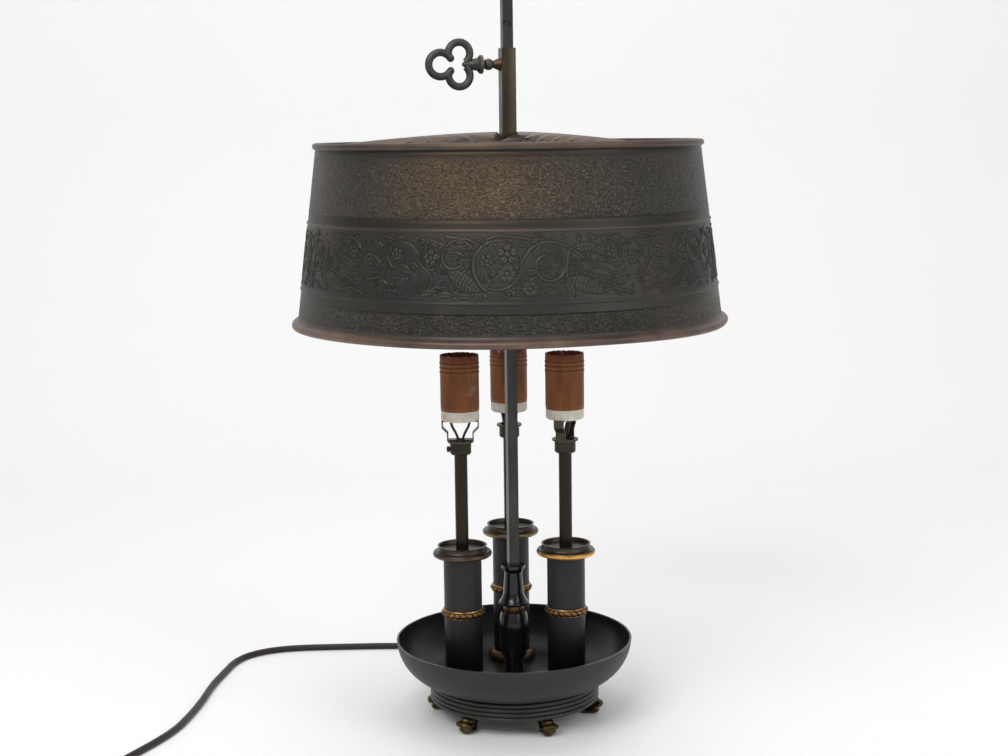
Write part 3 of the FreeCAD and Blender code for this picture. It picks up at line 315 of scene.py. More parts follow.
def shade_paint():
    """Dark bronze lacquer, warm brown in rubbed clouds and in a painted highlight, with a pebbled grain in
    two bands.
    """
    p = Paint("shade_bronze")
    x, y, z = p.axes()
    grain = p.noise(210, 1, 0.5, stretch=(1, 1, 1.8), distortion=0.3)
    wrinkle = p.noise(520, 1.6, 0.5, stretch=(1, 1, 1.8), distortion=0.5)
    cloud = p.noise(11, 5, 0.62)
    pebble = p.attribute("pebble")
    p.tones(cloud, 0.36, 0.66, (0.027, 0.0275, 0.025), (0.042, 0.041, 0.036))
    # A painted highlight, warm brown, lies high on the front, left of the middle
    side = p.span(p.math("ABSOLUTE", p.math("ADD", x, 0.028)), 0.018, 0.115, 1, 0)
    painted_highlight = p.times(p.times(side, p.span(y, -0.09, -0.135)), p.span(z, 0.385, 0.415))
    painted_highlight = p.times(painted_highlight, p.span(p.noise(5, 3, 0.5), 0.30, 0.52))
    warm_rub_and_highlight = p.math("MAXIMUM", painted_highlight, p.times(p.span(p.noise(7, 4, 0.6), 0.52, 0.72), 0.45))
    p.tint(warm_rub_and_highlight, (0.092, 0.062, 0.036))
    # Painted highlights on the crests of the pebbled grain, stronger in the warm tone and painted highlight
    crest = p.times(p.times(pebble, p.span(wrinkle, 0.54, 0.66)), p.span(cloud, 0.32, 0.6, 0.45, 1.0))
    p.tint(crest, (0.235, 0.18, 0.12), p.span(warm_rub_and_highlight, 0.0, 1.0, 0.30, 0.68))
    smooth_band = p.times(p.span(z, 0.3992, 0.4002), p.math("SUBTRACT", 1.0, pebble), clamp=True)
    p.tint(smooth_band, (0.020, 0.017, 0.012), 0.62)
    # Painted shade in the troughs of the pebbled grain
    p.tint(p.times(pebble, p.span(wrinkle, 0.46, 0.36)), (0.012, 0.011, 0.010), 0.6)
    # A painted highlight on the raised ornament
    p.tint(p.span(p.attribute("raised"), 0.6, 1.0), (0.105, 0.098, 0.080), 0.32)
    # Painted shade in the sunk lines, and a painted shadow under the top bead
    p.tint(p.attribute("groove"), (0.006, 0.0055, 0.005), 0.92)
    # Copper on the rims: rubbed metal and a painted highlight, strongest on the lower bead
    copper = p.mix(p.span(cloud, 0.35, 0.65), (0.080, 0.052, 0.040), (0.20, 0.135, 0.10))
    p.tint(p.attribute("rim"), copper, p.span(p.noise(60, 4), 0.3, 0.5, 0.55, 1.0))
    bumpy = p.times(p.math("ADD", p.times(grain, 0.6), wrinkle), pebble)
    p.bump((bumpy, 0.0022, 1.0), (p.noise(1500, 3), 0.00004, 0.5), (p.noise(14, 2), 0.002, 0.15))
    return p.done(Metallic=0.55, Specular_IOR_Level=0.5, Roughness=p.spread(cloud, 0.40, 0.52))


def fibre_paint(name, seed):
    """Red-brown fibre, redder towards its upper edge, chipped there and rubbed on one side."""
    p = Paint(name)
    p.where = p.mapped("Location", (seed * 0.37, seed * 0.21, seed * 0.11))
    streaks = p.noise(42, 5, 0.6, stretch=(3, 3, 0.7))
    fibres = p.noise(400, 4, 0.65, stretch=(1, 1, 3))
    cloud = p.noise(60, 5, 0.6)
    p.tones(streaks, 0.34, 0.66, (0.145, 0.048, 0.015), (0.25, 0.086, 0.026))
    p.tint(p.span(fibres, 0.45, 0.7), (0.10, 0.040, 0.020), 0.3)
    p.tint(p.attribute("edge"), (0.105, 0.024, 0.014), p.span(cloud, 0.38, 0.58, 0.45, 1.0))
    p.tint(p.attribute("chip_zone"), (0.42, 0.20, 0.15), p.span(p.noise(210, 3), 0.57, 0.62))
    rubbed = p.times(p.attribute("rub_zone"), p.span(p.noise(95, 5, 0.7), 0.53, 0.63))
    p.tint(rubbed, (0.32, 0.19, 0.13), 0.55)
    p.bump((fibres, 0.00006, 0.6), (cloud, 0.0003, 0.25))
    return p.done(Roughness=p.spread(streaks, 0.42, 0.56), Specular_IOR_Level=0.2)


def ceramic_paint():
    p = Paint("greige_ceramic")
    cloud = p.noise(85, 5, 0.62)
    grit = p.noise(650, 4, 0.6)
    p.tones(cloud, 0.34, 0.66, (0.52, 0.46, 0.38), (0.74, 0.68, 0.60))
    p.tint(p.span(grit, 0.6, 0.74), (0.27, 0.22, 0.16), 0.4)
    p.tint(p.hollows(0.44, 0.49), (0.12, 0.09, 0.065), 0.5)
    p.bump((grit, 0.0001, 0.5), (cloud, 0.0003, 0.3))
    return p.done(Roughness=p.spread(grit, 0.55, 0.7))


def rubber_paint(name, dark, light, rough=0.48):
    p = Paint(name)
    cloud = p.noise(120, 4, 0.6)
    p.tones(cloud, 0.35, 0.65, dark, light)
    p.tint(p.span(p.noise(30, 5, 0.65), 0.56, 0.72), scaled(light, 2.2), 0.3)
    p.bump((p.noise(1800, 3, 0.6), 0.00004, 0.5), (cloud, 0.0001, 0.3))
    return p.done(Roughness=p.spread(cloud, rough - 0.06, rough + 0.08), Specular_IOR_Level=0.4)


def iron_paint():
    p = Paint("cast_iron")
    grit = p.noise(380, 5, 0.7)
    p.tones(grit, 0.35, 0.65, (0.035, 0.034, 0.033), (0.075, 0.072, 0.068))
    p.tint(p.span(p.noise(30, 6, 0.65), 0.52, 0.68), (0.12, 0.052, 0.026), 0.7)
    p.bump((grit, 0.0003, 0.6))
    return p.done(Metallic=0.5, Roughness=p.spread(grit, 0.55, 0.75))


def cup_paint(name, gilt, amount):
    """A dark cup with a band of gilt or brown at its flange edge, a tone for each cup, and a painted brown
    reflection on its floor.
    """
    p = Paint(name)
    z = p.axes()["Z"]
    cloud = p.noise(75, 5, 0.6)
    p.tones(cloud, 0.35, 0.65, (0.019, 0.0175, 0.0145), (0.036, 0.031, 0.024))
    low, high = 0.1351, 0.1403
    band = p.times(p.span(z, low - 0.0006, low + 0.0002), p.span(z, high - 0.0024, high, 1, 0))
    p.tint(p.times(band, p.span(p.noise(120, 5, 0.65), 0.28, 0.52)), gilt, amount)
    # A painted reflection, brown, on the cup's floor
    floor = p.times(p.span(z, 0.1436, 0.1443, 1, 0), p.span(z, 0.1405, 0.1412))
    p.tint(p.times(floor, p.span(cloud, 0.3, 0.6)), (0.095, 0.068, 0.044), 0.6)
    p.tint(p.edges(0.53, 0.6), (0.15, 0.12, 0.085), 0.45)
    p.bump((p.noise(800, 3), 0.00003, 0.5), (p.noise(160, 3), 0.0001, 0.4))
    return p.done(Metallic=0.8, Roughness=p.spread(cloud, 0.28, 0.42))


M = {
    "tube": tube_paint(),
    "dish": dish_paint(),
    "ring": metal_paint("foot_ring_bronze", (0.022, 0.0212, 0.021), (0.034, 0.032, 0.031),
                        (0.10, 0.065, 0.042), rough=0.38, metallic=0.35, edge_tint_amount=0.5),
    "gloss": metal_paint("black_gloss", (0.004, 0.0044, 0.006), (0.008, 0.0084, 0.010), (0.03, 0.03, 0.032),
                         rough=0.2, metallic=0.1, edge_tint_amount=0.2, grain=0.00001,
                         Specular_IOR_Level=0.42, Coat_Weight=0.15, Coat_Roughness=0.12),
    "feet": aged_brass("foot_brass", (0.038, 0.026, 0.010), (0.105, 0.072, 0.026), (0.62, 0.44, 0.15),
                       rough=0.24),
    "bead": aged_brass("bead_brass", (0.050, 0.026, 0.011), (0.15, 0.078, 0.030), (0.78, 0.47, 0.18),
                       edge_tint_amount=0.9, rough=0.26),
    "tube_foot": aged_brass("tube_foot_brass", (0.060, 0.038, 0.020), (0.125, 0.082, 0.045),
                            (0.34, 0.24, 0.14), edge_tint_amount=0.7),
    "collar": aged_brass("collar_brass", (0.10, 0.058, 0.028), (0.20, 0.115, 0.055), (0.42, 0.27, 0.14),
                         edge_tint_amount=0.8, rough=0.3),
    "pipe": brown_bronze("pipe_bronze", (0.0055, 0.0046, 0.0034), (0.012, 0.0096, 0.0066),
                         (0.022, 0.0145, 0.0085), rough=0.34),
    "clamp": brown_bronze("clamp_bronze", (0.020, 0.018, 0.0125), (0.042, 0.037, 0.026),
                          (0.062, 0.050, 0.032)),
    "strap": brown_bronze("strap_bronze", (0.018, 0.0165, 0.013), (0.038, 0.035, 0.026),
                          (0.058, 0.050, 0.034)),
    "stem": stem_steel(),
    "sleeve": sleeve_bronze(),
    "key": key_iron(),
    "shade": shade_paint(),
    # The spider's light edges are wear and a painted highlight along its edges
    "spider": metal_paint("spider_bronze", (0.060, 0.043, 0.031), (0.14, 0.098, 0.070), (0.36, 0.28, 0.22),
                          rough=0.34, metallic=0.75, edge_tint_amount=0.6, scale=70.0),
    "ceramic": ceramic_paint(),
    "wire": rubber_paint("wire_black", (0.010, 0.010, 0.011), (0.018, 0.018, 0.019)),
    "cord": rubber_paint("cord_brown", (0.012, 0.009, 0.008), (0.022, 0.016, 0.013)),
    "plug": rubber_paint("plug_brown", (0.022, 0.014, 0.010), (0.038, 0.025, 0.018), rough=0.4),
    "shell": metal_paint("shell_brass", (0.42, 0.30, 0.13), (0.60, 0.45, 0.21), (0.75, 0.60, 0.34),
                         rough=0.3, metallic=1.0),
    "steel": metal_paint("dull_steel", (0.16, 0.155, 0.15), (0.27, 0.26, 0.25), (0.42, 0.40, 0.38),
                         rough=0.38, metallic=0.95),
    "iron": iron_paint(),
    "cup_left": cup_paint("cup_left", (0.16, 0.088, 0.060), 0.75),
    "cup_right": cup_paint("cup_right", (0.78, 0.42, 0.10), 1.0),
    "cup_rear": cup_paint("cup_rear", (0.34, 0.24, 0.11), 0.85),
}
for seed, side in enumerate(CANDLES):
    M[f"fibre_{side}"] = fibre_paint(f"fibre_{side}", seed + 1.0)


def dress(node, material):
    """Gives a CAD node its material."""
    materials = NODES[node].data.materials
    materials.clear()
    materials.append(material)


def new_mesh(name, vertices, faces, material, body):
    mesh = bpy.data.meshes.new(name)
    mesh.from_pydata(vertices.tolist(), [], faces)
    mesh.validate()
    mesh.update()
    mesh.polygons.foreach_set("use_smooth", [True] * len(mesh.polygons))
    mesh.materials.append(material)
    piece = new_object(name, mesh)
    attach(piece, body)
    return piece


def add_layers(mesh, **layers):
    """Numbers at each vertex, which a material reads."""
    for name, values in layers.items():
        layer = mesh.attributes.new(name, "FLOAT", "POINT")
        layer.data.foreach_set("value", np.clip(values, 0, 1).astype(np.float32).reshape(-1))


def grid_faces(rows, columns, wrap_columns=True):
    """Quads between the rows of a grid whose last row joins the first."""
    row, column = np.indices((rows, columns if wrap_columns else columns - 1))
    start, next_start = row * columns, (row + 1) % rows * columns
    next_column = (column + 1) % columns
    corners = [start + column, start + next_column, next_start + next_column, next_start + column]
    return np.stack(corners, axis=-1).reshape(-1, 4).tolist()


def turned(name, radius, angles, z, material, body, centre=(0.0, 0.0)):
    """A ring of rows round an axis, from the radius and height of each point in mm."""
    x, y = radius * np.sin(angles) + centre[0], -radius * np.cos(angles) + centre[1]
    points = np.stack([x, y, z], axis=-1).reshape(-1, 3)
    return new_mesh(name, points * MM, grid_faces(*radius.shape), material, body)


def lathe(name, profile, steps, material, centre, wobble=None):
    """Turns a closed profile, of radius and height in mm. wobble(angles, index) gives a change of radius."""
    angles = np.linspace(0.0, 2 * pi, steps, endpoint=False)
    radius, z = (np.repeat([[row[k]] for row in profile], steps, axis=1) for k in (0, 1))
    if wobble is not None:
        radius += [np.broadcast_to(wobble(angles, i), steps) for i in range(len(profile))]
    return turned(name, radius, angles, z, material, "base", centre)


def between(a, b, c, d, t):
    """The place, at share t of the way from b to c, on a smooth line through a, b, c and d."""
    return 0.5 * (2 * b + (c - a) * t + (2 * a - 5 * b + 4 * c - d) * t * t + (3 * b - a - 3 * c + d) * t**3)


def arc_points(a, b, via, count):
    """Points on the circle through a, via and b, from a to b, both ends included."""
    (ax, ay), (bx, by), (cx, cy) = a, via, b
    d = 2 * (ax * (by - cy) + bx * (cy - ay) + cx * (ay - by))
    ux = ((ax**2 + ay**2) * (by - cy) + (bx**2 + by**2) * (cy - ay) + (cx**2 + cy**2) * (ay - by)) / d
    uy = ((ax**2 + ay**2) * (cx - bx) + (bx**2 + by**2) * (ax - cx) + (cx**2 + cy**2) * (bx - ax)) / d
    radius = hypot(ax - ux, ay - uy)
    t0, t2 = (atan2(p[1] - uy, p[0] - ux) for p in (a, b))
    way = 1 if (bx - ax) * (cy - by) > (by - ay) * (cx - bx) else -1
    if way * (t2 - t0) < 0:
        t2 += way * 2 * pi
    return [(ux + radius * cos(t), uy + radius * sin(t)) for t in np.linspace(t0, t2, count)]


# Materials of the CAD nodes

NODES_OF = {
    "dish": "dish", "ring": "foot_ring", "iron": "base_weight", "steel": "foot_screws lock_nuts",
    "clamp": "clamp_screws", "shell": "centre_contacts plug_blades", "wire": "lamp_wiring",
    "stem": "stem finial", "gloss": "stem_vase stem_casting", "collar": "stem_collar",
    "sleeve": "slide_sleeve", "spider": "spider spider_rivets", "cord": "cord_bushing cord cord_coil",
    "plug": "plug", "key": "key_screw", "shade": "shade",
}
CANDLE_PARTS_OF = {
    "tube": "candle_tube", "tube_foot": "tube_foot", "bead": "bead_ring", "pipe": "pipe",
    "clamp": "clamp_cup", "strap": "socket_bracket", "ceramic": "socket_base", "shell": "screw_shell",
}
FEET = ("right_front", "right", "right_rear", "left_rear", "left", "left_front")

for paint, nodes in NODES_OF.items():
    for node in nodes.split():
        dress(node, M[paint])
for side in CANDLES:
    for paint, part in CANDLE_PARTS_OF.items():
        dress(f"{part}_{side}", M[paint])
    dress(f"candle_cup_{side}", M[f"cup_{side}"])
    dress(f"socket_sleeve_{side}", M[f"fibre_{side}"])
for foot in FEET:
    dress(f"foot_{foot}", M["feet"])


# Cord: one line from the bushing to the plug, through the coil

CORD_RADIUS = 2.7
DOWN_FROM_RING = [(0, 70, 21), (0, 106, 20.8), (-3, 124, 16), (-11, 141, 8)]
ON_TABLE = [
    (-28, 157), (-56, 168), (-98, 173), (-150, 174), (-198, 173.5), (-226, 162), (-242, 141), (-248, 108),
    (-254.5, 72), (-257, 36), (-262, 0), (-269, -34), (-283, -66), (-298, -94), (-308, -122),
]
COIL_X, COIL_BACK, COIL_TAIL = -308.0, -172.0, 24
COIL_RADIUS, COIL_STEP, COIL_RISE = 40.05, 2.95, 5.9
CLIMB = 6  # the half turn that rises to the upper layer


def coil_route():
    """Seven points for each half turn: six shrinking ones, a climb and five growing ones, then the tail."""
    points = [(COIL_X, COIL_BACK + COIL_TAIL, CORD_RADIUS)]
    x, way = COIL_X, 1
    for index, steps in enumerate([*range(CLIMB + 1), *range(CLIMB - 1, 0, -1)]):
        radius = COIL_RADIUS - COIL_STEP * steps
        centre = x + way * radius
        # The spline cuts inside its points by about this much
        reach = radius / 0.9752
        for k in range(7):
            angle = radians((k + 0.5) * 180 / 7)
            z = CORD_RADIUS
            if index == CLIMB:
                z += COIL_RISE * (k + 0.5) / 7
            elif index > CLIMB:
                z += COIL_RISE
            x_now, y_now = centre - way * reach * cos(angle), COIL_BACK - way * reach * sin(angle)
            points.append((x_now, y_now, z))
        x, way = x + way * 2 * radius, -way
    points.append((COIL_X, COIL_BACK - COIL_TAIL, CORD_RADIUS + COIL_RISE))
    return points


def cord_piece():
    on_table = [(x, y, CORD_RADIUS) for x, y in ON_TABLE]
    points = DOWN_FROM_RING + on_table + coil_route()
    curve = bpy.data.curves.new("cord_line", "CURVE")
    curve.dimensions = "3D"
    curve.bevel_depth = CORD_RADIUS * MM
    curve.bevel_resolution = 4
    curve.resolution_u = 8
    curve.use_fill_caps = True
    spline = curve.splines.new("NURBS")
    spline.points.add(len(points) - 1)
    for point, (x, y, z) in zip(spline.points, points):
        point.co = (x * MM, y * MM, z * MM, 1.0)
    spline.order_u = 3
    spline.use_endpoint_u = True
    curve.materials.append(M["cord"])
    piece = new_object("cord_line", curve)
    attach(piece, "base")
    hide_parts("cord", "cord_coil")


cord_piece()


# Shade

SHADE_TOP, SHADE_BOTTOM = 455.5, 320.0
TOP_RADIUS, SPREAD = 148.0, 17.4
SHEET = 0.9
BOTTOM_BEAD = 2.8
RIDGES = (398.0, 348.0)
LESSER_RIDGES = (RIDGES[0] + 9.5, 450.4)
FRIEZE_LOW, FRIEZE_HIGH = 349.2, 396.8
FRIEZE_MIDDLE, FRIEZE_SPAN = 373.0, 47.4
PRESSED_HIGH, PRESSED_DEEP = 1.4, 0.45
MEDALLION_BEARING = -5.2
TILES_ROUND = 5
SHADE_COLUMNS = 2200


def wall_radius(z):
    return TOP_RADIUS + SPREAD * (SHADE_TOP - z) / (SHADE_TOP - SHADE_BOTTOM)


class Relief:
    """A pressed ornament on a flat tile, drawn with strokes and leaves. Heights are in mm."""

    def __init__(self, width, height, step):
        self.width, self.height, self.step = width, height, step
        self.x = np.arange(-width / 2, width / 2 + step / 2, step)
        self.y = np.arange(-height / 2, height / 2 + step / 2, step)
        self.gx, self.gy = np.meshgrid(self.x, self.y)
        self.raised, self.groove = np.zeros((2, *self.gx.shape))

    def part(self, xs, ys, margin):
        """The piece of the tile that a form touches."""
        (c0, c1), (r0, r1) = (
            [int((v + side / 2) / self.step) for v in (min(values) - margin - 2, max(values) + margin + 2)]
            for values, side in ((xs, self.width), (ys, self.height)))
        return np.s_[max(0, r0):max(1, r1 + 2), max(0, c0):max(1, c1 + 2)]

    def put(self, window, height, inside, line, depth):
        """A form stands on what was there, with a sunk line at its edge."""
        raised, groove = self.raised[window], self.groove[window]
        groove[:] = np.maximum(np.where(inside, 0, groove), depth * line)
        raised[:] = np.where(inside, np.maximum(height, raised * 0.35), raised)

    def put_round(self, window, distance, half, h, gap, soft):
        """A rounded form, as far as half from its line or middle."""
        dome = np.sqrt(np.clip(1 - (distance / half) ** 2, 0, 1))
        line = np.clip(1 - np.abs(distance - half - gap) / soft, 0, 1)
        self.put(window, h * dome, distance < half, line, 0.9)

    def stroke(self, points, width, h=0.5):
        xs, ys = [q[0] for q in points], [q[1] for q in points]
        window = self.part(xs, ys, width)
        gx, gy = self.gx[window], self.gy[window]
        best = np.full_like(gx, 1e9)
        for (x0, y0), (x1, y1) in zip(points, points[1:]):
            dx, dy = x1 - x0, y1 - y0
            t = np.clip(((gx - x0) * dx + (gy - y0) * dy) / max(dx * dx + dy * dy, 1e-9), 0, 1)
            best = np.minimum(best, np.hypot(gx - x0 - t * dx, gy - y0 - t * dy))
        self.put_round(window, best, width, h, 0.35, 0.5)

    def leaf(self, x, y, angle, length, width, h=0.42, veins=2, bend=0.0):
        c, s = cos(radians(angle)), sin(radians(angle))
        ex, ey = x + length * c, y + length * s
        window = self.part((x, ex), (y, ey), width)
        gx, gy = self.gx[window], self.gy[window]
        u = ((gx - x) * c + (gy - y) * s) / length
        v = (-(gx - x) * s + (gy - y) * c) / (width / 2)
        v = v - bend * (u - u * u) * 2.0
        shape = np.sin(np.pi * np.clip(u, 0, 1) ** 0.8)
        edge = np.abs(v) - shape
        inside = (u > 0) & (u < 1) & (edge < 0)
        outline = np.where((u > -0.03) & (u < 1.04), np.abs(edge) * width / 2, 9.0)
        body = h * np.clip(1 - (v / np.maximum(shape, 0.05)) ** 4, 0, 1) ** 0.5
        rib = np.clip(1 - np.abs(v) * width / 2 / 0.4, 0, 1)
        side = 0.5 + 0.5 * np.cos(2 * np.pi * (u * veins * 1.6 - np.abs(v) * 0.55))
        cut = np.maximum(rib, np.clip(side * 4 - 3.1, 0, 1) * (np.abs(v) < shape * 0.85))
        line = np.clip(1 - outline / 0.5, 0, 1)
        self.put(window, body * (1 - 0.5 * cut), inside & (edge < -0.1), line, 1.0)
        groove = self.groove[window]
        groove[:] = np.where(inside, np.maximum(groove, cut * 0.6), groove)

    def bud(self, x, y, radius, h=0.5):
        window = self.part((x,), (y,), radius)
        distance = np.hypot(self.gx[window] - x, self.gy[window] - y)
        self.put_round(window, distance, radius, h, 0.2, 0.45)

    def flower(self, x, y, radius, petals, turn):
        for k in range(petals):
            a = turn + 360.0 * k / petals
            start = x + 0.2 * radius * cos(radians(a)), y + 0.2 * radius * sin(radians(a))
            self.leaf(*start, a, radius * 0.86, radius * 0.72, 0.5, veins=1)
        self.bud(x, y, radius * 0.24, 0.55)

    def ring(self, x, y, radius, width):
        t = np.linspace(0, 2 * pi, 49)
        self.stroke(list(zip(x + radius * np.cos(t), y + radius * np.sin(t))), width)


def curve_through(points, count):
    """A smooth line through a few points."""
    p = [points[0]] + list(points) + [points[-1]]
    out = []
    for a, b, c, d in zip(p, p[1:], p[2:], p[3:]):
        for t in np.linspace(0, 1, count // (len(points) - 1) + 2, endpoint=False):
            out.append(tuple(between(a[k], b[k], c[k], d[k], t) for k in (0, 1)))
    return out + [points[-1]]


STEMS = [  # half width, then points in mm from the medallion
    (0.75, [(17, 3), (23, 12), (34, 16.5), (46, 14), (56, 8.5), (62, 3)]),
    (0.8, [(50, 12), (49, 3), (44, -6), (36, -9.5), (28, -6), (26.5, 3), (33, 7.5), (39, 4)]),
    (0.7, [(49, 10), (47.5, 0), (47.7, -9)]),
    (0.5, [(61, 4), (66, 0), (74, -2), (83, -6), (92, -4)]),
    (0.5, [(56, -3), (66, -7), (76, -8), (88, -13)]),
    (0.5, [(30, -14), (38, -17), (46, -19.5)]),
    (0.6, [(66, 17), (76, 19), (87, 15), (91, 6), (85, 0), (78, 3)]),
    (0.55, [(70, -19), (82, -16), (94, -19), (98.6, -16)]),
    (0.75, [(-13, 15), (-20, 18.3), (-29, 19.4), (-37, 20.6)]),
    (0.85, [(-16, 12), (-26, 18), (-36, 14), (-39, 5), (-33, -1), (-25, 1.5), (-24, 8), (-30, 9.5)]),
    (0.6, [(-8, 18), (0, 20.6), (12, 19.8), (25, 18)]),
    (0.6, [(-37, 14), (-46, 17), (-55, 12), (-56, 3), (-50, -2), (-43, 0), (-41, 7)]),
    (0.7, [(-50, -2), (-46, -9), (-50, -16)]),
    (0.45, [(-47, -7), (-56, -12), (-69, -17), (-80, -16)]),
    (0.45, [(-47, -10), (-60, -18), (-74, -21)]),
    (0.6, [(-56, 8), (-64, 15), (-75, 16), (-82, 8), (-78, 0), (-70, 1), (-69, 7)]),
    (0.6, [(-80, 3), (-88, -7), (-98.6, -9)]),
    (0.5, [(-78, 18), (-88, 20), (-98.6, 14)]),
    (0.55, [(2.5, -16.6), (6.5, -20.3), (15, -20.8)]),
]
LEAVES = [  # x, y, angle, length, width, veins
    (-35, -3, -28, 29, 12.5, 7), (47.7, -8.5, -21, 31, 11.5, 7), (47.7, -9, -68, 13, 6.5, 4),
    (52, 12.5, 2, 21, 7, 5), (25, 6, 62, 11, 5, 3), (36, 0, 78, 8.5, 4.8, 2), (36, -1, 20, 8, 4.8, 2),
    (35, -2, -42, 8, 4.6, 2), (30, -14, -22, 13, 5.5, 4), (60, -13, 12, 13, 5.5, 4), (22, 16, 20, 9, 4.2, 3),
    (19, -4, 12, 9, 4.5, 3), (21, -11, 38, 8, 4.4, 2), (-22, 18, 196, 9, 4.4, 3), (-30, 10, 170, 8, 4.6, 2),
    (-27, 2, 60, 6.5, 4.2, 2), (-56, -18, 8, 14, 5.6, 4), (-42, -18.5, -4, 13, 5, 4),
    (-28, -19.6, 4, 13, 5, 4), (-20, -1, 118, 8, 4.4, 2), (-42, 13, 142, 9, 4.4, 3), (-62, -5, 150, 14, 6, 4),
    (-64, -8, 205, 15, 5.6, 4), (-80, -13, 168, 13, 5.4, 4), (-88, -2, 130, 13, 6, 4),
    (-68, 19, 184, 10, 4.4, 3), (-86, 12, 158, 12, 5, 3), (84, -13, 24, 13, 5.6, 4), (78, 13, 120, 8, 4.4, 2),
    (90, 8, 46, 9, 4.6, 3), (70, 8, 20, 9, 4.6, 3), (70, 6, -30, 9, 4.2, 3), (-92, -16, 12, 11, 4.6, 3),
    (92, 17, 170, 10, 4.2, 3), (62, 20, -6, 10, 3.8, 3), (-11.5, -4.5, 214, 5.6, 3.4, 1),
    (-3, -8.5, 212, 9.5, 4.6, 3), (-9, 13.5, 60, 5.5, 3.6, 1),
]
FLOWERS = [  # x, y, radius, petals, turn
    (-47.5, 6, 6.2, 5, 12), (-74.5, 8, 5.2, 5, 40), (82, 9, 5.4, 5, 0), (22, -14.5, 6.0, 6, 10),
    (33.5, 5, 3.4, 5, 0), (98.6, 4, 5.4, 6, 0), (-98.6, 4, 5.4, 6, 0), (-30, 6.5, 3.2, 5, 0),
    (8.5, -15.5, 4.4, 5, 30),
]
BUDS = [  # x, y, radius
    (-8.5, -19.2, 1.6), (45, 19, 1.2), (57, 18, 1.2), (-58, 19, 1.2), (40, -3, 1.2), (72, -14, 1.3),
    (-40, -9, 1.2), (63, -3, 1.2),
]
MEDALLION_FLOWERS = [(6.8, 8.6, 7.6, 5, 20), (-7.5, 4.2, 5.6, 5, 64), (6.4, -4.2, 6.8, 6, 0)]
MEDALLION_LEAVES = [  # x, y, angle, length, width
    (-1.4, 12.4, 96, 4.6, 3.4), (-1.5, -1.6, 240, 7.5, 4.2), (12, -2, 40, 4.4, 3), (0.5, 5.6, 190, 4, 2.6),
    (13, 2.5, 80, 4.5, 3), (-7, -5.5, 250, 5.5, 3.2), (11, -9.5, -30, 4.2, 2.8),
]
MEDALLION_STEM = [(-11, 13.6), (-16, 7), (-16.6, -2), (-13.5, -9.5), (-8.2, -15.5)]
MEDALLION_Y, MEDALLION_RADIUS = 1.4, 16.4
TENDRILS = 170
TILE_WIDTH, TILE_HEIGHT, TILE_STEP = 197.2, 46.0, 0.32


def frieze_tile():
    """A medallion of flowers among scrolling stems, with large veined leaves, in the traditional manner."""
    tile = Relief(TILE_WIDTH, TILE_HEIGHT, TILE_STEP)
    pick = random.Random(11)
    for _ in range(TENDRILS):
        # Small curled tendrils fill the ground
        x, y = pick.uniform(-96, 96), pick.uniform(-19, 19)
        turn, size, way = pick.uniform(0, 360), pick.uniform(2.2, 4.2), pick.choice((-1, 1))
        if hypot(x, y - MEDALLION_Y) < 19:
            continue
        turns = np.radians(turn + way * np.linspace(0, 230, 9))
        reach = size * np.linspace(1.0, 0.35, 9)
        tile.stroke(list(zip(x + reach * np.cos(turns), y + reach * np.sin(turns))), 0.42, 0.34)
    for half, points in STEMS:
        tile.stroke(curve_through(points, 40), half)
    for x, y, angle, length, wide, veins in LEAVES:
        tile.leaf(x, y, angle, length, wide, veins=veins, bend=0.3 if (x + y) % 2 > 1 else -0.25)
    for flower in FLOWERS:
        tile.flower(*flower)
    tile.ring(0, MEDALLION_Y, MEDALLION_RADIUS, 0.6)
    tile.stroke(curve_through(MEDALLION_STEM, 24), 1.15, 0.55)
    for flower in MEDALLION_FLOWERS:
        tile.flower(*flower)
    for leaf in MEDALLION_LEAVES:
        tile.leaf(*leaf)
    for bud in BUDS:
        tile.bud(*bud)
    return tile


def smooth_step(value, low, high):
    t = np.clip((value - low) / (high - low), 0, 1)
    return t * t * (3 - 2 * t)


def ridge_height(z, middles, half, height):
    return sum(height * sqrt(max(0.0, 1 - ((z - middle) / half) ** 2)) for middle in middles)


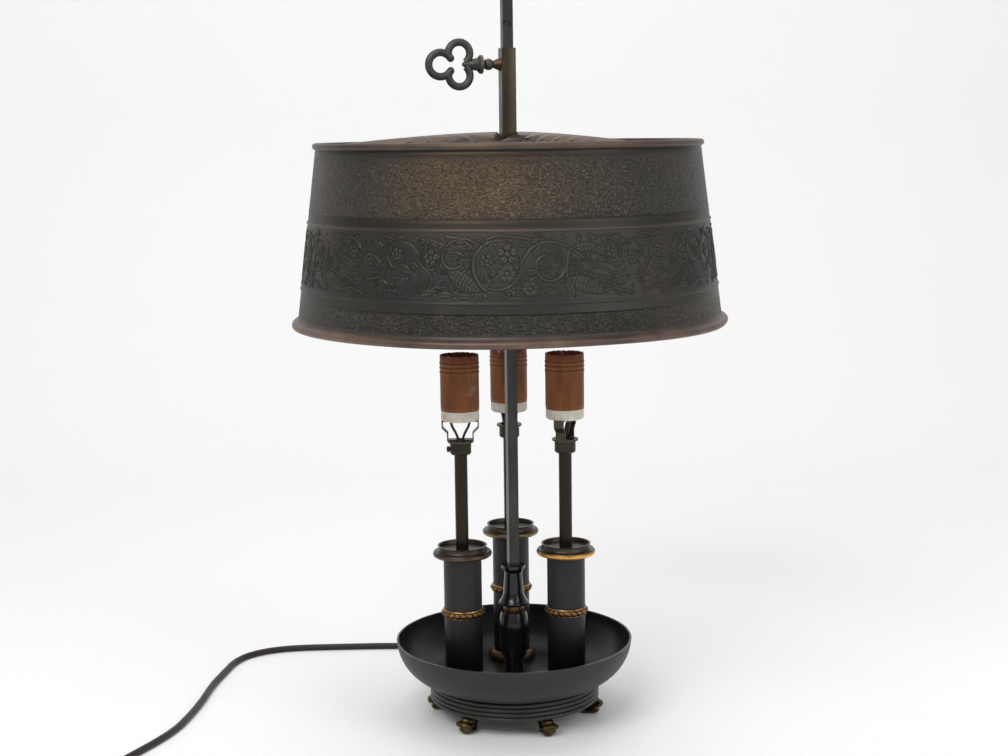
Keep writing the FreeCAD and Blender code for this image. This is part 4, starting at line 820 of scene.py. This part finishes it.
def shade_rows():
    """Rows of radius, height, copper rim (rubbed metal and a painted highlight) and pebbled grain: down the
    outside, then up the inside.
    """
    top, bottom, flare = wall_radius(SHADE_TOP), wall_radius(SHADE_BOTTOM), wall_radius(327.0)
    under_bead = (wall_radius(SHADE_TOP - 2.6), SHADE_TOP - 2.6)
    top_bead = arc_points((top - 1.2, SHADE_TOP + 2.2), under_bead, (top + 2.6, SHADE_TOP + 0.2), 13)
    outer = [(r, z, 0.5, 0.0) for r, z in top_bead]
    heights = {round(v, 3) for v in np.arange(328.0, 452.6, 5.0) if not RIDGES[1] < v < RIDGES[0]}
    heights |= {round(v, 3) for v in np.linspace(349.4, 396.6, 100)}
    for middle in RIDGES + LESSER_RIDGES:
        heights |= {round(middle + d, 3) for d in (-1.4, -1.1, -0.8, -0.45, 0.0, 0.45, 0.8, 1.1, 1.4)}
    heights |= {452.9, 452.4, 451.8, 406.0, 405.0, 341.0, 339.8, 327.2}
    for z in sorted(heights, reverse=True):
        ridge = ridge_height(z, RIDGES, 1.1, 0.9) + ridge_height(z, LESSER_RIDGES, 0.6, 0.28)
        upper = smooth_step(z, 404.5, 406.5) * (1 - smooth_step(z, 447.0, 449.0))
        lower = smooth_step(z, 325.0, 327.0) * (1 - smooth_step(z, 339.5, 341.0))
        outer.append((wall_radius(z) + ridge, z, 0.35 if abs(z - RIDGES[0]) < 0.5 else 0.0, upper + lower))
    outer += [(flare + 0.35, 325.2, 0.3, 0.0), (flare + 1.0, 323.9, 0.3, 0.0)]
    crest = (bottom + 1.8 + BOTTOM_BEAD - 0.1, SHADE_BOTTOM)
    bottom_bead = arc_points((bottom + 1.6, 322.7), (bottom + 1.0, 317.2), crest, 12)
    outer += [(r, z, 1.0, 0.0) for r, z in bottom_bead]
    inner = [(bottom - SHEET, 318.3, 0.6, 0.0)]
    inner += [(wall_radius(z) - SHEET, z, 0.0, 0.0) for z in (326.0, *np.linspace(340.0, 450.0, 8))]
    inner.append((top - SHEET - 0.2, SHADE_TOP + 1.2, 0.6, 0.0))
    return outer, inner


def make_shade():
    tile = frieze_tile()
    outer, inner = shade_rows()
    profile = np.array(outer + inner)
    heights = profile[:, 1]
    rows, columns = len(profile), SHADE_COLUMNS
    angles = np.linspace(0, 2 * pi, columns, endpoint=False)
    raised, groove = np.zeros((2, rows, columns))
    # The tile runs round the wall, with its medallion near the front
    middle = radians(MEDALLION_BEARING)
    along = (((angles - middle) / (2 * pi) * TILES_ROUND + 0.5) % 1.0 - 0.5) * tile.width
    for i, (_, z, *_) in enumerate(outer):
        if not FRIEZE_LOW < z < FRIEZE_HIGH:
            continue
        v = (z - FRIEZE_MIDDLE) * (tile.height / FRIEZE_SPAN)
        column = np.clip((along + tile.width / 2) / tile.step, 0, len(tile.x) - 1.001)
        row = np.clip((v + tile.height / 2) / tile.step, 0, len(tile.y) - 1.001)
        c0, r0 = np.floor(column).astype(int), int(row)
        fc, fr = column - c0, row - r0
        for source, target in ((tile.raised, raised), (tile.groove, groove)):
            target[i] = ((source[r0, c0] * (1 - fc) + source[r0, c0 + 1] * fc) * (1 - fr)
                         + (source[r0 + 1, c0] * (1 - fc) + source[r0 + 1, c0 + 1] * fc) * fr)
    # Old sheet metal is never quite round, and its lower rim isn't quite level
    wave = 0.35 * np.sin(angles * 3 + 0.6) + 0.25 * np.sin(angles * 7 + 2.0) + 0.12 * np.sin(angles * 13)
    fade = np.interp(heights, (320, 455), (1.0, 0.35))[:, None]
    radius = np.repeat(profile[:, :1], columns, axis=1)
    radius += raised * PRESSED_HIGH - groove * PRESSED_DEEP + wave * fade
    sag = np.interp(heights, (317, 345), (1.0, 0.0))[:, None]
    # A painted shadow lies as a dark line under the top bead
    groove[(heights > 451.6) & (heights < 453.0) & (np.arange(rows) < len(outer))] = 0.9
    z = profile[:, 1:2] + sag * (0.4 * np.sin(angles * 2 + 1.0) + 0.25 * np.sin(angles * 5))
    piece = turned("shade_sheet", radius, angles, z, M["shade"], "shade_carriage")
    rim, pebble = (np.repeat(profile[:, k:k + 1], columns, axis=1) for k in (2, 3))
    add_layers(piece.data, raised=raised / 0.5, groove=groove, rim=rim, pebble=pebble)
    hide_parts("shade")


make_shade()


# Spider: three stamped, arched leaves with scalloped and pierced edges, turned down at the rim

ARM_BEARINGS = (-79.0, 41.0, 161.0)
SCALLOP_PITCH, FIRST_SCALLOP = 13.0, 26.0
RIM_TURN = ((143.4, 454.9), (145.3, 453.4), (146.2, 451.0), (146.4, 447.0), (146.4, 443.0))  # reach, height


def leaf_half_width(r):
    reach, half_width = (20, 30, 45, 62, 80, 100, 120, 140), (20.0, 20.6, 18.6, 15.8, 12.8, 9.8, 7.8, 6.6)
    return float(np.interp(r, reach, half_width))


def make_spider():
    thickness = 0.8
    widest_half_angle = radians(60.0)
    reach = list(np.linspace(8.2, 140.0, 64))
    across = np.linspace(-1.0, 1.0, 29)
    points, quads, index = [], [], {}

    def corner(x, y, z):
        key = (round(x, 3), round(y, 3), round(z, 3))
        if key not in index:
            index[key] = len(points)
            points.append((x, y, z))
        return index[key]

    for bearing in ARM_BEARINGS:
        rows = []
        for r in reach:
            scallop = cos(2 * pi * (r - FIRST_SCALLOP) / SCALLOP_PITCH)
            begun = smooth_step(r, 26.0, 34.0)
            wide = leaf_half_width(r) * (1.0 + 0.09 * scallop * begun * smooth_step(-r, -132.0, -120.0))
            limit = asin(wide / r) if wide < r * sin(widest_half_angle) else widest_half_angle
            crown = 464.3 - 9.0 * (max(0.0, r - 14.0) / 130.0) ** 1.5
            drop = float(np.interp(r, (8, 30, 60, 90, 115, 140), (5.5, 8.0, 6.8, 5.2, 3.4, 1.0)))
            row = []
            for t in across:
                a = radians(bearing) + t * limit
                z = crown - drop * abs(t) ** 1.9 + 0.35 * t * t * scallop * begun
                # A raised vein down the middle and pressed side veins
                middle_vein = 0.55 * exp(-((t * wide / 1.3) ** 2))
                side_veins = 0.22 * abs(t) * cos(2 * pi * (r / SCALLOP_PITCH - abs(t) * 0.7))
                z += middle_vein + side_veins
                row.append(corner(r * sin(a), -r * cos(a), z))
            rows.append(row)
        a = radians(bearing)
        for r, z in RIM_TURN:
            sides = [t * 6.4 * (1.0 if z > 444 else 0.8) for t in across]
            arch = 0.4 if r < 145 else 0.0
            rows.append([corner(r * sin(a) + side * cos(a), -r * cos(a) + side * sin(a), z - arch * t * t)
                         for t, side in zip(across, sides)])
        for i, (one, two) in enumerate(zip(rows, rows[1:])):
            r = reach[i] if i < len(reach) else 200.0
            place = ((r - FIRST_SCALLOP) / SCALLOP_PITCH + 0.5) % 1.0 - 0.5
            near_hole = 32.0 < r < 112.0 and abs(place) < 0.12
            for j in range(len(across) - 1):
                if near_hole and abs(abs(across[j] + across[1] / 2 + 0.5) - 0.76) < 0.05:
                    continue
                face = [one[j], one[j + 1], two[j + 1], two[j]]
                if len(set(face)) == 4:
                    quads.append(face)
    points = np.array(points)
    sheet = bpy.data.meshes.new("sheet")
    sheet.from_pydata(points.tolist(), [], quads)
    sheet.update()
    normals = np.zeros(len(points) * 3, np.float32)
    sheet.vertices.foreach_get("normal", normals)
    normals = normals.reshape(-1, 3)
    normals[normals[:, 2] < -0.2] *= -1
    bpy.data.meshes.remove(sheet)
    count = len(points)
    below = points - normals * thickness
    edges = dict.fromkeys((a, b) for face in quads for a, b in zip(face, face[1:] + face[:1]))
    walls = [[b, a, a + count, b + count] for a, b in edges if (b, a) not in edges]
    faces = quads + [[v + count for v in face[::-1]] for face in quads] + walls
    piece = new_mesh("spider_leaves", np.vstack([points, below]) * MM, faces, M["spider"], "shade_carriage")
    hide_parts("spider")


make_spider()


# Socket sleeves: rolled fibre with three raised rings and a chipped upper edge

SLEEVE_LOW, SLEEVE_LENGTH = 252.0, 43.4
CHIP_SEEDS = {"left": 0.4, "right": 2.1, "rear": 4.0}


def make_sleeve(side, bearing):
    x, y = around(bearing, CANDLE_CIRCLE)
    low = SLEEVE_LOW - (REAR_DROP if side == "rear" else 0.0)
    high = low + SLEEVE_LENGTH
    outer, inner = 15.05, 14.05
    ring = ((-1.1, 0.0), (-0.7, 0.24), (0.0, 0.42), (0.7, 0.24), (1.1, 0.0), (1.35, -0.12))
    profile = [(outer - (0.25 if z == low else 0.0), z) for z in np.linspace(low, low + 28.0, 10)]
    for middle in (low + 30.0, low + 33.4, low + 36.8):
        profile += [(outer + dr, middle + dz) for dz, dr in ring]
    profile += [(outer - (0.35 if z == high else 0.0), z) for z in np.linspace(high - 5.0, high, 9)]
    profile.append((inner + 0.2, high - 0.05))
    profile += [(inner, z) for z in np.linspace(high - 1.0, low, 8)]
    piece = lathe(f"fibre_sleeve_{side}", profile, 160, M[f"fibre_{side}"], (x, y))
    mesh = piece.data
    chip, edge, rub = np.zeros((3, len(mesh.vertices)), np.float32)
    seed = CHIP_SEEDS[side]
    rubbed_bearing = 0.6 if side == "left" else 3.0
    for i, vertex in enumerate(mesh.vertices):
        px, py, pz = vertex.co.x / MM - x, vertex.co.y / MM - y, vertex.co.z / MM
        angle = atan2(px, -py)
        below = high - pz
        edge[i] = max(0.0, 1.0 - below / 9.0)
        nibble = max(0.0, sin(angle * 9 + seed * 3) * sin(angle * 4 + seed)) ** 2
        chip[i] = 1.0 if below < 1.2 + 3.6 * nibble else 0.0
        rub[i] = max(0.0, 1.0 - abs(angle - rubbed_bearing) / 0.7) * (1.0 if below > 14 else 0.3)
        if below < 0.8:
            vertex.co.z -= (0.4 * nibble + 0.12 * sin(angle * 23 + seed)) * MM
    add_layers(mesh, chip_zone=chip, edge=edge, rub_zone=rub)
    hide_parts(f"socket_sleeve_{side}")


for side, bearing in CANDLES.items():
    make_sleeve(side, bearing)


# Bead rings: a fillet with a row of beads pressed in it

BEAD_HEIGHT, BEADS = 91.0, 20


def make_bead_ring(side, bearing):
    x, y = around(bearing, CANDLE_CIRCLE)
    fillet = [(14.95, 3.1), (15.6, 3.2), (15.9, 2.6), (15.75, 2.1)]
    arc = np.radians(np.linspace(-72, 72, 13))
    profile = [(r, BEAD_HEIGHT - dz) for r, dz in fillet]
    profile += [(15.35 + 1.45 * cos(a), BEAD_HEIGHT + 2.05 * sin(a)) for a in arc]
    profile += [(r, BEAD_HEIGHT + dz) for r, dz in fillet[::-1]]

    def wobble(angles, index):
        k = index - len(fillet)
        if not 0 <= k < len(arc):
            return 0.0
        lean = (k - 6) / 6 * 0.12
        beads = np.abs(np.cos((angles + lean / BEADS * 3.2) * BEADS / 2)) ** 0.7
        return 0.8 * cos(arc[k]) * (beads * 1.6 - 0.85)

    piece = lathe(f"beads_{side}", profile, BEADS * 14, M["bead"], (x, y), wobble)
    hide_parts(f"bead_ring_{side}")


for side, bearing in CANDLES.items():
    make_bead_ring(side, bearing)


# Feet: cast scrolls, with a rolled knee above a rounded toe

FOOT_SPINE = [  # reach from the stem, height, half width, roundness of the cross section
    (57, 13.9, 5, 0.5), (61.5, 13.9, 5, 0.5), (65.6, 13.7, 4.8, 0.8), (67.4, 12.9, 4.7, 1),
    (67.9, 12, 4.6, 0.9), (68.6, 11.2, 5.6, 0.7), (70.6, 10.2, 7.4, 1), (71.5, 8.6, 8, 1.1),
    (71, 6.9, 7.6, 1.1), (69, 5.7, 6.4, 0.8), (67.6, 5, 5, 0.5), (68, 4.2, 5.4, 0.8),
    (68.6, 2.9, 5.8, 0.9), (67.8, 1.4, 5.5, 0.8), (65.6, 0.4, 5, 0.5), (62, 0.02, 4.6, 0.3),
    (58, 0, 4.4, 0.2), (55.2, 0.2, 4.4, 0.2), (54, 1.6, 4.4, 0.2), (54.2, 4.5, 4.6, 0.2),
    (53.6, 8, 4.8, 0.2), (53.2, 12, 5, 0.3),
]
FOOT_CENTRE = np.array([61.5, 7.0])
FOOT_TOP = 13.98
FIRST_FOOT_BEARING = 21.5


def make_foot(name, bearing):
    """A grid drawn over the scroll: along its profile from top to toe, and across its width."""
    n = len(FOOT_SPINE)
    fine = []
    for i in range(n):
        a, b, c, d = (np.array(FOOT_SPINE[(i + k) % n]) for k in (-1, 0, 1, 2))
        fine += [between(a, b, c, d, t) for t in (0.0, 0.25, 0.5, 0.75)]
    across = np.linspace(-1, 1, 25)
    grid = []
    for reach, height, half, roundness in fine:
        spot = np.array([reach, height])
        outward = (spot - FOOT_CENTRE) / np.linalg.norm(spot - FOOT_CENTRE)
        for s in across:
            t = sin(s * pi / 2)
            pull = 1 - sqrt(max(0.0, 1 - abs(t) ** 2.2))
            point = spot + (FOOT_CENTRE - spot) * pull * (0.34 + 0.2 * roundness)
            # Flutes on the knee and the toe
            if reach > 64.5:
                flute = 0.28 * cos(t * pi * 2.5) * (1 - abs(t) ** 3)
                point = point + outward * flute * roundness * 0.8
            grid.append((point[0], t * half, min(FOOT_TOP, max(0.0, point[1]))))
    points = np.array(grid)
    rows, columns = len(fine), len(across)
    faces = grid_faces(rows, columns, wrap_columns=False)
    caps = [[r * columns for r in range(rows)][::-1], [r * columns + columns - 1 for r in range(rows)]]
    turn = radians(bearing - 90.0)
    c, s = cos(turn), sin(turn)
    x, y = points[:, 0] * c - points[:, 1] * s, points[:, 0] * s + points[:, 1] * c
    world = np.stack([x, y, points[:, 2]], axis=1)
    piece = new_mesh(f"scroll_{name}", world * MM, faces + caps, M["feet"], "base")
    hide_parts(f"foot_{name}")


for index, foot in enumerate(FEET):
    make_foot(foot, FIRST_FOOT_BEARING + 60.0 * index)


# Floor, backdrop and light


def paper():
    """A pale studio surface that keeps the lamp's shadow."""
    p = Paint("studio_paper")
    white = (0.91, 0.91, 0.91)
    p.tones(p.noise(2.0, 3.0), 0.3, 0.7, scaled(white, 0.99), white)
    return p.done(Roughness=0.6, Specular_IOR_Level=0.2)


def sweep():
    """Floor and back wall in one sheet with a wide curve between them."""
    bend, radius, front, top, half_width = 0.9, 0.5, -3.0, 3.2, 4.0
    line = [(front, 0.0), (bend, 0.0)]
    for a in np.linspace(0, 90, 13)[1:]:
        line.append((bend + radius * sin(radians(a)), radius - radius * cos(radians(a))))
    line.append((bend + radius, top))
    vertices = [(x, y, z) for y, z in line for x in (-half_width, half_width)]
    faces = [(2 * i, 2 * i + 1, 2 * i + 3, 2 * i + 2) for i in range(len(line) - 1)]
    mesh = bpy.data.meshes.new("studio_sweep")
    mesh.from_pydata(vertices, [], faces)
    mesh.polygons.foreach_set("use_smooth", [True] * len(mesh.polygons))
    mesh.materials.append(paper())
    piece = new_object("studio_sweep", mesh)


sweep()


def lamp(name, place, target, width, height, watts):
    light = bpy.data.lights.new(name, "AREA")
    light.shape = "RECTANGLE"
    light.size, light.size_y, light.energy = width, height, watts
    piece = new_object(name, light)
    aim = (Vector(target) - Vector(place)).to_track_quat("-Z", "Y")
    piece.matrix_world = Matrix.Translation(place) @ aim.to_matrix().to_4x4()


lamp("key_light", (-0.9, -1.6, 1.9), (0, 0, 0.25), 1.4, 1.2, 30.0)
lamp("fill_light", (1.5, -1.3, 1.2), (0, 0, 0.25), 1.2, 1.4, 12.0)
lamp("top_light", (0.0, 0.3, 2.2), (0, 0.1, 0.2), 1.8, 1.4, 14.0)

world = bpy.data.worlds.new("World")
bpy.context.scene.world = world
world.use_nodes = True
background = world.node_tree.nodes["Background"]
background.inputs["Color"].default_value = (1.0, 1.0, 1.0, 1.0)
background.inputs["Strength"].default_value = 0.43
bpy.context.scene.view_settings.view_transform = "Standard"
